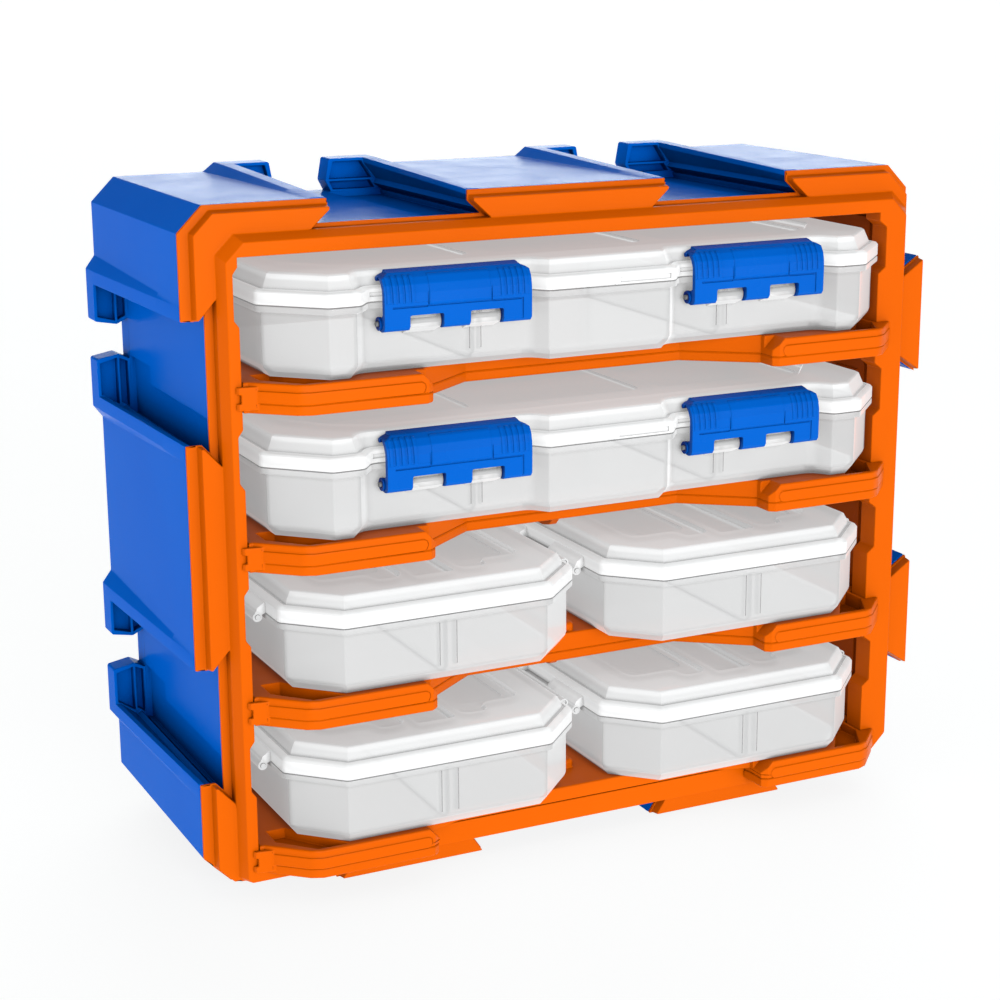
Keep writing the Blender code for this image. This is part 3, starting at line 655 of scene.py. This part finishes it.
def build_liner():
    """The orange inside walls, with guide pads beside each case."""
    lo = (LINER_L - 2.2, SHELL_FRONT + 0.3, LINER_FLOOR - 2.2)
    liner = block("liner", lo, (LINER_R + 2.2, LINER_BACK + 2.0, LINER_TOP + 2.2), SHADED_ORANGE)
    cavity_lo = (LINER_L, SHELL_FRONT - 5.0, LINER_FLOOR)
    cut(liner, block("tool", cavity_lo, (LINER_R, LINER_BACK, LINER_TOP), SHADED_ORANGE))
    pads = ((16.0, 44.0, 6.0, 48.0, 1.0), (21.0, 39.0, 12.0, 42.0, 1.8))
    for level in LEVELS:
        for x, side in ((LINER_R, -1.0), (LINER_L, 1.0)):
            # The right half-width cases' flaps swing out to 1.3 mm from the wall: only the low pad fits.
            low = side < 0.0 and level in LEVELS[2:]
            for y0, y1, z0, z1, out in pads[:1] if low else pads:
                a, b = sorted((x - side * 0.5, x + side * out))
                add(liner, block("tool", (a, y0, level + z0), (b, y1, level + z1), SHADED_ORANGE))
    polish(liner, 0.4, 2, 30.0)
    return place(liner, "rack", "inner_liner")


# ---------------------------------------------------------------- shelves
def lip_front(side):
    """Plan path of a lip's outer face from its root to its inner end, drawn as if on the right."""
    root = LIP_ROOT_R if side > 0 else LIP_ROOT_L
    return [(root, -0.3), (147.6, -14.7), (142.2, LIP_FRONT), (LIP_INNER + 3.0, LIP_FRONT)]


def lip_points(side, inner_y, inner_x):
    """Plan path of a whole lip, which ends where the shelf's middle begins."""
    path = lip_front(side) + [(LIP_INNER, LIP_FRONT + 2.2), (LIP_INNER, LIP_FRONT + 12.0), (inner_x, inner_y)]
    return [(side * x, y) for x, y in path]


def shelf_outline(inner_y, inner_x):
    left = lip_points(-1, inner_y, inner_x)
    right = lip_points(1, inner_y, inner_x)[::-1]
    wing, back = SHELL_FRONT + 2.0, LINER_BACK - 0.3
    body = [(OPEN_R - 0.3, -0.3), (OPEN_R - 0.3, wing), (LINER_R - 0.3, wing), (LINER_R - 0.3, back)]
    body += [(LINER_L + 0.3, back), (LINER_L + 0.3, wing), (OPEN_L + 0.3, wing), (OPEN_L + 0.3, -0.3)]
    return left + right + body


def lip_panel(side, level):
    """The raised band along a lip's face, with a rounded inner end."""
    proud, deep = 0.45, 1.2
    path = [Vector(p) for p in lip_front(side)]
    path[0] = path[0].lerp(path[1], 0.12)
    rings = []
    for z, end in ((-8.6, 6.6), (-8.0, 5.2), (-6.0, 4.4), (-4.4, 4.8), (-3.4, 6.4)):
        front, rear = [], []
        points = path[:3] + [Vector((LIP_INNER + end, LIP_FRONT))]
        for i, p in enumerate(points):
            e = (points[min(i + 1, 3)] - points[max(i - 1, 0)]).normalized()
            n = Vector((-e.y, e.x)) * -1.0
            n = n if n.y < 0 else -n
            front.append((side * (p.x + n.x * proud), p.y + n.y * proud))
            rear.append((side * (p.x - n.x * deep), p.y - n.y * deep))
        rings.append([(x, y, level + z) for x, y in front + rear[::-1]])
    return loft("tool", rings, ORANGE)


def corner_pocket(side, level, depth):
    """The pocket in the deck behind a lip's slanted end."""
    limit = OPEN_R - 2.0 if side > 0 else LIP_ROOT_L - 6.0
    points = [(limit, LIP_FRONT + 18.5), (143.5, -14.0), (129.0, -14.0), (149.0, 14.0), (limit, 14.0)]
    return along_z("tool", [(side * x, y) for x, y in points], level - depth, level + 5.0, ORANGE)


def shelf_levels(level, low):
    """(inset, z) of a shelf's outline from below: a rounded edge, the parting groove, a rounded edge."""
    return [(0.5, low), (0.0, low + 0.6), (0.0, level - 9.1), (0.35, level - 8.95), (0.35, level - 8.75),
            (0.0, level - 8.6), (0.0, level - 0.6), (0.5, level)]


def root_hook(level):
    """The small stepped arm where a left lip's root lies on the bezel's face."""
    plan = [(-169.0, -0.4), (-168.0, -2.2), (-161.0, -3.4), (-157.0, -3.4), (-157.0, -0.4)]
    arm = along_z("tool", plan, level - 11.6, level - 1.6, ORANGE)
    return cut(arm, block("tool", (-171.0, -5.0, level - 8.6), (-167.0, 0.5, level - 4.8), ORANGE))


def build_shelf(number, level):
    """Shelf 1, 2 or 3 from the top: the lower ones have a nose below their edge, the third a guide rib."""
    rings = terraced(shelf_outline(SETBACK, 55.0), shelf_levels(level, level - LIP_HEIGHT))
    shelf = loft(f"shelf_moulding_{number}", rings, ORANGE)
    under = [(-120.0, -8.0), (-88.5, -8.0), (-88.5, 0.0), (-56.0, 24.0), (56.0, 24.0), (88.5, 0.0),
             (88.5, -8.0), (120.0, -8.0), (120.0, 20.0), (150.0, 20.0), (150.0, 127.5), (-158.0, 127.5),
             (-158.0, 20.0), (-120.0, 20.0)]
    cut(shelf, along_z("tool", under, level - LIP_HEIGHT - 5.0, level - 3.0, ORANGE))
    for side in (-1, 1):
        cut(shelf, corner_pocket(side, level, 7.0))
        cut(shelf, end_chamfer(side, level))
        add(shelf, lip_panel(side, level))
    add(shelf, root_hook(level))
    if number >= 2:
        nose = [(32.0, -3.5), (36.0, -7.4), (43.0, -9.0), (118.0, -9.0), (120.0, -7.0), (120.0, 11.3),
                (32.0, 11.3)]
        nose = [(y, level - LIP_HEIGHT + z) for y, z in nose]
        add(shelf, along_x("tool", nose, -4.0, 0.0, ORANGE))
    if number == 3:
        add(shelf, guide_rib(level))
    polish(shelf, 0.45, 2, 28.0)
    return place(shelf, "rack", f"shelf_{number}")


def end_chamfer(side, level):
    """Cuts the slanted upper corner off a lip's inner end."""
    shape = [(LIP_INNER - 4.0, level + 1.0), (LIP_INNER + 6.6, level + 1.0), (LIP_INNER - 1.0, level - 6.6),
             (LIP_INNER - 4.0, level - 6.6)]
    return along_y("tool", [(side * x, z) for x, z in shape], LIP_FRONT - 4.0, LIP_FRONT + 9.0, ORANGE)


def guide_rib(level):
    """The rib between the two half-width cases of a level."""
    plan = rounded([(-6.0, 20.0), (2.0, 20.0), (2.0, 126.0), (-6.0, 126.0)], 3.6)
    return loft("tool", terraced(plan, [(0.0, -1.0), (0.0, 2.8), (0.5, 3.6), (1.4, 4.0)], level), ORANGE)


def build_floor():
    """The lowest level: a floor as thick as the frame's lower edge, with lips in front of it."""
    level = LEVELS[3]
    low = OPEN_BOTTOM + 0.3
    edges = [(0.0, low), (0.0, level - 0.6), (0.5, level)]
    floor = loft("floor_moulding", terraced(shelf_outline(0.0, 69.0), edges), ORANGE)
    for side in (-1, 1):
        lip = inset(lip_points(side, -0.3, LIP_INNER - 1.0)[::-side], 0.3)
        edges = [(0.4, level - LIP_HEIGHT), (0.0, level - LIP_HEIGHT + 0.5), (0.0, level - 9.1),
                 (0.4, level - 8.95), (0.4, level - 8.75), (0.0, level - 8.6), (0.0, low + 2.0)]
        add(floor, loft("tool", terraced(lip, edges), ORANGE))
        cut(floor, corner_pocket(side, level, 4.5))
        cut(floor, end_chamfer(side, level))
        add(floor, lip_panel(side, level))
    add(floor, root_hook(level))
    add(floor, guide_rib(level))
    polish(floor, 0.45, 2, 28.0)
    return place(floor, "rack", "floor_tray")


# ---------------------------------------------------------------- cases
def mirrored(half, centre):
    """A whole outline from its right half."""
    return [(centre + x, y) for x, y in half + [(-x, y) for x, y in half[::-1]]]


def wide_outline():
    half = [(31.5, -20.0), (37.5, -12.0), (112.5, -12.0), (118.5, -20.0), (133.3, -20.0), (157.0, 3.7),
            (157.0, 115.0), (148.0, 124.0)]
    return mirrored(half, WIDE_X)


def small_outline():
    return mirrored([(50.0, -20.0), (72.0, 2.0), (72.0, 115.0), (63.0, 124.0)], 0.0)


def build_tray(name, outline):
    """A case's lower half, from under its floor, out and up to the rim, and down inside."""
    levels = [(6.8, 0.3), (3.4, 4.6), (2.8, 6.4), (2.8, 27.6), (2.2, 28.5), (0.0, 28.6), (0.0, 31.2),
              (1.6, 31.3), (1.8, 30.6), (3.9, 30.4), (4.3, 28.0), (4.4, 7.0), (5.0, 5.2), (8.2, 2.1)]
    return stack(name, outline, levels, CLEAR, 0.5)


def build_lid(name, outline, wide):
    """A lid, from the inner top, down inside, out around the rim and up to the plateau."""
    inner = [(10.0, 41.6), (7.4, 41.2), (5.6, 37.0), (5.0, 36.6), (4.8, 31.7), (0.2, 31.6), (0.0, 32.0)]
    if wide:
        rim = [(0.0, 36.8), (0.9, 37.8), (2.7, 38.2), (3.2, 37.5), (4.0, 37.5), (4.4, 38.6), (6.6, 43.8),
               (8.0, LID_TOP)]
    else:
        rim = [(0.0, 37.2), (1.1, 38.5), (3.0, 39.1), (3.4, 38.3), (4.5, 38.3), (4.9, 40.6), (6.6, 43.9),
               (7.8, LID_TOP)]
    return stack(name, outline, inner + rim, CLEAR_LID, 0.4)


def recess(obj, plan, top, depth, radius):
    """Sinks a shallow panel with sloped, rounded sides into a lid's top."""
    levels = [(1.0, top - depth), (0.0, top - 0.2), (-0.3, top + 2.0)]
    cut(obj, loft("tool", terraced(rounded(plan, radius, 3), levels), CLEAR_LID))


def bore(target, axis, span, centre):
    """Clears a pin's hole through hinge knuckles."""
    cut(target, rod("tool", axis, span, centre, BORE, CLEAR))


def divider_marks(tray, x, rail, line):
    """Rails inside the front and back walls that hold a divider, and a fine line in front of it."""
    add(tray, block("tool", (x, rail[0], 6.5), (x + 1.0, rail[1], 27.0), CLEAR))
    cut(tray, block("tool", (x + 0.3, line[0], 7.5), (x + 0.7, line[1], 27.2), CLEAR))
    add(tray, block("tool", (x, 116.0, 2.0), (x + 1.0, 119.9, 27.0), CLEAR))


def latch_knuckle():
    """Section of the tray's knuckles, round the latch's pin and back to the front wall."""
    radius = 4.1
    turned = [math.radians(a) for a in range(140, 231, 15)]
    round_pin = [(PIVOT[0] + radius * math.cos(a), PIVOT[1] - radius * math.sin(a)) for a in turned]
    return ([(-9.0, 16.6)] + round_pin + [(-13.4, 25.3), (-9.0, 25.4)])[::-1]


def build_wide_case():
    """Tray and lid of a full-width case, with knuckles at the latches, rear hinges and a sunk lid top."""
    outline = wide_outline()
    tray = build_tray("wide_tray", outline)
    lid = build_lid("wide_lid", outline, True)
    for side in (-1, 1):
        centre = WIDE_X + side * LATCH_X
        for low, high in NOTCHES:
            add(tray, along_x("tool", latch_knuckle(), centre + low + 0.5, centre + high - 0.5, CLEAR))
        bore(tray, "x", (centre - LATCH_HALF, centre + LATCH_HALF), PIVOT)
        rear_hinge(tray, lid, WIDE_X + side * 70.0)
        for off in (-3.2, 2.2):
            divider_marks(tray, WIDE_X + side * 62.0 + off, (-8.0, -5.6), (-10.0, -8.9))
        cut(lid, block("tool", (centre - 37.0, -13.0, 33.6), (centre + 37.0, -11.2, 35.6), CLEAR))
    cut(lid, block("tool", (2.5, -21.0, 32.6), (28.0, -19.5, 34.9), CLEAR))
    cut(lid, block("tool", (-24.0, -21.0, 31.0), (0.0, -19.6, 32.1), CLEAR))
    sunk = 1.3
    recess(lid, [(-122.0, 14.0), (-104.0, 4.0), (104.0, 4.0), (120.0, 14.0), (136.0, 34.0), (136.0, 92.0),
                 (120.0, 106.0), (-122.0, 106.0), (-138.0, 92.0), (-138.0, 34.0)], LID_TOP, sunk, 8.0)
    for x0, x1 in ((-128.0, -50.0), (-40.0, 38.0), (48.0, 126.0)):
        recess(lid, [(x0, 22.0), (x1, 22.0), (x1, 88.0), (x0, 88.0)], LID_TOP - sunk, 0.9, 6.0)
    polish(tray)
    polish(lid)
    return tray, lid


def rear_hinge(tray, lid, x):
    """One hinge at the back: the tray's knuckle between the lid's two."""
    wall, y, z, r = 122.5, 127.6, HINGE_Z, 2.9
    add(tray, block("tool", (x - 8.0, wall, z - 1.4), (x + 8.0, y, z + 1.1), CLEAR))
    add(tray, rod("tool", "x", (x - 8.0, x + 8.0), (y, z), r, CLEAR))
    link = [(wall, z + 2.0), (y, z + 0.5), (y + r - 0.5, z + 1.5), (y, z + 6.0), (wall, z + 6.0)]
    for span in ((x - 18.0, x - 8.5), (x + 8.5, x + 18.0)):
        add(lid, rod("tool", "x", span, (y, z), r, CLEAR_LID))
        add(lid, along_x("tool", link, *span, CLEAR_LID))
    for target in (tray, lid):
        bore(target, "x", (x - 20.0, x + 20.0), (y, z))


def side_hinge(tray, lid):
    """The long hinge on a half-width case's left side: the tray's knuckle between the lid's two."""
    wall, x, z, r, y0, y1 = -70.8, -75.6, HINGE_Z, 2.2, 18.0, 106.0
    third = (y1 - y0) / 3.0
    middle = (y0 + third, y1 - third)
    arm = [(x, z - 1.4), (wall, z - 1.4), (wall, z + 1.1), (x, z + 1.1)]
    add(tray, along_y("tool", arm, *middle, CLEAR))
    add(tray, rod("tool", "y", middle, (x, z), r, CLEAR))
    link = [(x - 1.5, z + 1.0), (x + 1.0, z + 0.4), (wall, z + 2.0), (-70.0, z + 6.8), (-71.4, z + 7.0),
            (x, z + 4.2)]
    for span in ((y0, y0 + third - 0.5), (y1 - third + 0.5, y1)):
        add(lid, rod("tool", "y", span, (x, z), r, CLEAR_LID))
        add(lid, along_y("tool", link, *span, CLEAR_LID))
    for target in (tray, lid):
        bore(target, "y", (y0 - 2.0, y1 + 2.0), (x, z))


def side_flap(lid):
    """The flap on the right side that holds the lid shut, and the lid's two knuckles for its pin."""
    (x, z), r, y0, y1 = FLAP_PIN, FLAP_RADIUS, 16.0, 104.0
    whole = (y0 - 2.0, y1 + 2.0)
    arm = [(71.0, z - 1.6), (x, z - 2.0), (x, z + 2.0), (71.0, z + 1.6)]
    for span in ((y0, y0 + 6.0), (y1 - 6.0, y1)):
        add(lid, along_y("tool", arm, *span, CLEAR_LID))
        add(lid, rod("tool", "y", span, (x, z), r, CLEAR_LID))
    bore(lid, "y", whole, FLAP_PIN)
    section = [(x - 1.2, 16.0), (x + 0.6, 14.0), (x + 2.0, 14.6), (x + 1.4, 19.0), (x + 1.6, z), (x - 1.2, z)]
    span = (y0 + 6.5, y1 - 6.5)
    flap = along_y("small_flap", section, *span, CLEAR_LID)
    add(flap, rod("tool", "y", span, (x, z), r, CLEAR_LID))
    bore(flap, "y", whole, FLAP_PIN)
    for y in (36.0, 60.0, 84.0):
        cut(flap, block("tool", (x + 1.1, y - 8.0, 20.5), (x + 3.0, y + 8.0, 31.0), CLEAR_LID))
    return flap


def build_small_case():
    """Tray, lid and side flap of a half-width case, with three sunk panels in the lid's top."""
    outline = small_outline()
    tray = build_tray("small_tray", outline)
    lid = build_lid("small_lid", outline, False)
    for x in (-4.6, 3.6):
        divider_marks(tray, x, (-15.8, -12.4), (-18.0, -16.9))
    side_hinge(tray, lid)
    flap = side_flap(lid)
    panels = [[(-50.0, 12.0), (-26.0, 12.0), (-26.0, 2.0), (-12.0, 2.0), (-12.0, 100.0), (-50.0, 100.0)],
              [(-8.0, 0.0), (11.0, 0.0), (11.0, 104.0), (-8.0, 104.0)],
              [(15.0, 2.0), (29.0, 2.0), (29.0, 12.0), (50.0, 12.0), (50.0, 100.0), (15.0, 100.0)]]
    sunk = 1.5
    for plan, depth, radius in zip(panels, (sunk, 2.1, sunk), (7.0, 1.5, 7.0)):
        recess(lid, plan, LID_TOP, depth, radius)
    for x0, x1 in ((-44.0, -17.0), (20.0, 44.0)):
        recess(lid, [(x0, 17.0), (x1, 17.0), (x1, 94.0), (x0, 94.0)], LID_TOP - sunk, 0.8, 5.0)
    polish(tray)
    polish(lid)
    polish(flap, 0.3, 2, 30.0)
    return tray, lid, flap


# ---------------------------------------------------------------- latches
# The latch's section as (y, z): its outer face from the lower edge up, then over the hook and down behind.
LATCH_FACE = [(-15.4, 18.8), (-18.0, 19.3), (-19.2, 21.0), (-19.3, 31.0), (-19.1, 35.0), (-18.3, 38.6),
              (-16.5, 41.4), (-13.9, 43.3), (-11.2, 44.1)]
LATCH_REAR = [(-9.2, 44.4), (-8.6, 43.0), (-9.0, 40.0), (-10.4, 39.7), (-11.0, 41.9), (-13.0, 41.3),
              (-15.3, 39.0), (-16.7, 36.0), (-16.8, 26.0), (-14.0, 24.6), (-11.4, 23.4), (-10.6, 21.6),
              (-12.0, 19.6)]
# How far the grips and the middle panel stand out, and between which heights.
GRIP, PANEL = (0.55, 31.2, 42.3), (0.45, 30.2, 42.3)
GRIP_PITCH, GRIP_WIDE, GRIPS = 2.8, 1.6, 5


def latch_section(proud, low, high):
    """The latch's section, with its outer face raised by proud between two heights."""
    path = [Vector(p) for p in soften(LATCH_FACE, 2.0, 3)]
    for z in sorted({z + step for z in GRIP[1:] + PANEL[1:] for step in (-0.15, 0.15)}):
        at = next(i for i, p in enumerate(path) if p.y > z)
        a, b = path[at - 1], path[at]
        path.insert(at, a.lerp(b, (z - a.y) / (b.y - a.y)))
    face = []
    for i, p in enumerate(path):
        e = (path[min(i + 1, len(path) - 1)] - path[max(i - 1, 0)]).normalized()
        n = Vector((-e.y, e.x))
        n = n if n.x < 0 else -n
        face.append(tuple(p + n * proud) if low < p.y < high else tuple(p))
    return face + soften(LATCH_REAR, 0.8, 2)


def latch_stations():
    """Where along x the latch's face is plain, a grip or the middle panel."""
    plain, step = (0.0, 0.0, 0.0), 0.1
    stations = [(PLATE_LEFT, plain)]
    left, right = ([first + i * GRIP_PITCH for i in range(GRIPS)] for first in (-32.2, 20.6))
    raised = [(x, x + GRIP_WIDE, GRIP) for x in left] + [(-12.6, 15.8, PANEL)]
    raised += [(x, x + GRIP_WIDE, GRIP) for x in right]
    for x0, x1, kind in raised:
        stations += [(x0 - step, plain), (x0 + step, kind), (x1 - step, kind), (x1 + step, plain)]
    return stations + [(LATCH_HALF, plain)]


def build_latch():
    """Draw latch: a curved plate whose hook goes over the lid rim, with grips, a middle panel and a boss."""
    rings = [[(x, y, z) for y, z in latch_section(*kind)] for x, kind in latch_stations()]
    latch = loft("latch_moulding", rings, LATCH)
    add(latch, rod("tool", "x", (PLATE_LEFT - 0.25, LATCH_HALF - 0.3), PIVOT, 2.75, LATCH))
    for side, x in ((-1, PLATE_LEFT), (1, LATCH_HALF)):
        steps = [(-1.0, 40.6), (1.4, 42.4), (3.4, 43.2), (3.8, 46.5), (-1.0, 46.5)]
        cut(latch, along_y("tool", [(x - side * a, z) for a, z in steps], -24.0, -5.0, LATCH))
    for low, high in NOTCHES:
        hole = rounded([(low, 12.0), (high, 12.0), (high, 25.6), (low, 25.6)], 0.8)
        cut(latch, along_y("tool", hole, -26.0, -4.0, LATCH))
    deep, fine = -18.8, -18.9
    grooves = [(-29.5, -13.4, 28.9, 29.6, deep), (16.6, 31.0, 28.9, 29.6, deep),
               (30.7, 31.4, 20.5, 29.6, deep), (-13.4, -12.9, 29.3, 38.0, fine),
               (16.1, 16.6, 29.3, 38.0, fine), (-13.1, 16.4, 29.1, 29.7, fine)]
    for x0, x1, z0, z1, bottom in grooves:
        cut(latch, block("tool", (x0, -21.0, z0), (x1, bottom, z1), LATCH))
    polish(latch, 0.12, 1, 30.0)
    boss = along_x("latch_boss", circle(PIVOT, 2.95, 28), PLATE_LEFT - 0.7, PLATE_LEFT + 0.9, LATCH)
    cut(boss, rod("tool", "x", (-LATCH_HALF - 5.0, -LATCH_HALF + 5.0), PIVOT, 1.35, LATCH))
    polish(boss, 0.25, 2, 35.0)
    return latch, boss


# ---------------------------------------------------------------- assemble
def build_cases():
    """Copies one of each kind of case and latch to every place, then drops the originals."""
    tray, lid = build_wide_case()
    latch, boss = build_latch()
    for tag, level in zip(("wide1", "wide2"), LEVELS[:2]):
        place(copy(tray, f"{tag}_tray_shell", 0.0, level), f"{tag}_case", f"{tag}_tray")
        place(copy(lid, f"{tag}_lid_shell", 0.0, level), f"{tag}_case", f"{tag}_lid")
        for side, word in ((-1, "left"), (1, "right")):
            x = WIDE_X + side * LATCH_X
            body = f"{tag}_latch_{word}"
            place(copy(latch, f"{body}_plate", x, level), body, body)
            place(copy(boss, f"{body}_boss", x, level), body)
    small_tray, small_lid, flap = build_small_case()
    for tag, level in zip(("small1", "small2"), LEVELS[2:]):
        for word, x in zip(("left", "right"), SMALL_X):
            name = f"{tag}_{word}"
            place(copy(small_tray, f"{name}_tray_shell", x, level), f"{name}_case", f"{name}_tray")
            place(copy(small_lid, f"{name}_lid_shell", x, level), f"{name}_case", f"{name}_lid")
            place(copy(flap, f"{name}_flap", x, level), f"{name}_latch", f"{name}_latch")
    for template in (tray, lid, latch, boss, small_tray, small_lid, flap):
        drop(template)


def paint_cad_nodes():
    """Pins and dividers keep their CAD meshes and get the finish of their slots."""
    by_slot = {"pin_grey": PIN, "pin_clear": CLEAR_LID, "clear_body": CLEAR, "clear_lid": CLEAR_LID}
    for row in frame["record"]["subparts"]:
        obj = frame["nodes"][row["node"]]
        if not obj.hide_render:
            obj.data.materials.clear()
            obj.data.materials.append(by_slot[row["material_slot"]])


def area_light(name, position, size, power, aim):
    data = bpy.data.lights.new(name, "AREA")
    data.shape = "RECTANGLE"
    data.size, data.size_y = size
    data.energy = power
    obj = bpy.data.objects.new(name, data)
    bpy.context.scene.collection.objects.link(obj)
    obj.location = position
    obj.rotation_mode = "QUATERNION"
    obj.rotation_quaternion = (aim - Vector(position)).to_track_quat("-Z", "Y")


def build_stage():
    """A plain pale floor that lights the object a little from below."""
    mat = bpy.data.materials.new("studio_floor")
    mat.use_nodes = True
    tree = mat.node_tree
    bsdf = tree.nodes["Principled BSDF"]
    bsdf.inputs["Roughness"].default_value = 0.8
    bsdf.inputs["Specular IOR Level"].default_value = 0.1
    bsdf.inputs["Emission Color"].default_value = (1.0, 1.0, 1.0, 1.0)
    bsdf.inputs["Emission Strength"].default_value = 0.84
    pale = tint(tree, noise(tree, 3.0), (0.34, 0.34, 0.34), (0.36, 0.36, 0.36))
    tree.links.new(pale, bsdf.inputs["Base Color"])
    bm = bmesh.new()
    low, reach = CAD_BOX[0].z, 40.0
    bm.faces.new([bm.verts.new((x * reach, y * reach, low)) for x, y in ((-1, -1), (1, -1), (1, 1), (-1, 1))])
    finish("studio_floor", bm, mat)


def world_math(tree, operation, *values):
    """A Math node on sockets and fixed numbers."""
    made = node(tree, "ShaderNodeMath", operation=operation)
    for socket, value in zip(made.inputs, values):
        if isinstance(value, float):
            socket.default_value = value
        else:
            tree.links.new(value, socket)
    return made.outputs["Value"]


def build_world():
    """Soft even light, with a bright low strip behind the object on its right that its tops reflect."""
    world = bpy.data.worlds.new("studio")
    world.use_nodes = True
    bpy.context.scene.world = world
    tree = world.node_tree
    coords = node(tree, "ShaderNodeTexCoord")
    split = node(tree, "ShaderNodeSeparateXYZ")
    tree.links.new(coords.outputs["Generated"], split.inputs["Vector"])
    behind = ranged(tree, split.outputs["Y"], 0.35, 0.85, 0.0, 2.9)
    level = ranged(tree, split.outputs["Z"], 0.35, 0.65, 1.0, 0.0)
    right = ranged(tree, split.outputs["X"], 0.0, 0.18)
    beside = world_math(tree, "MULTIPLY", behind, right)
    glow = world_math(tree, "MULTIPLY_ADD", beside, level, 0.22)
    # Seen directly, the backdrop is plain and pale all round.
    direct = node(tree, "ShaderNodeLightPath").outputs["Is Camera Ray"]
    background = tree.nodes["Background"]
    background.inputs["Color"].default_value = (0.97, 1.05, 1.05, 1.0)
    tree.links.new(world_math(tree, "MAXIMUM", glow, direct), background.inputs["Strength"])


def build_camera():
    yaw, pitch, roll = (math.radians(angle) for angle in (YAW, PITCH, ROLL))
    ahead = Vector((math.sin(yaw) * math.cos(pitch), math.cos(yaw) * math.cos(pitch), -math.sin(pitch)))
    right = Vector((math.cos(yaw), -math.sin(yaw), 0.0))
    up = right.cross(ahead)
    x_axis = right * math.cos(roll) + up * math.sin(roll)
    y_axis = up * math.cos(roll) - right * math.sin(roll)
    data = bpy.data.cameras.new("camera")
    data.lens, data.sensor_width = LENS, SENSOR
    camera = bpy.data.objects.new("camera", data)
    bpy.context.scene.collection.objects.link(camera)
    camera.rotation_mode = "QUATERNION"
    camera.rotation_quaternion = Matrix((x_axis, y_axis, -ahead)).transposed().to_quaternion()
    camera.location = EYE
    data.clip_start, data.clip_end = 0.05, 50.0
    bpy.context.scene.camera = camera


build_shell()
build_bezel()
build_liner()
for index in range(3):
    build_shelf(index + 1, LEVELS[index])
build_floor()
build_cases()
paint_cad_nodes()
build_stage()
for name, setup in LIGHTS.items():
    area_light(name, *setup, (CAD_BOX[0] + CAD_BOX[1]) / 2.0)
build_world()
build_camera()
scene = bpy.context.scene
scene.view_settings.view_transform = "Standard"
scene.cycles.transparent_max_bounces = 24
scene.cycles.max_bounces = 10
scene.cycles.diffuse_bounces = 0
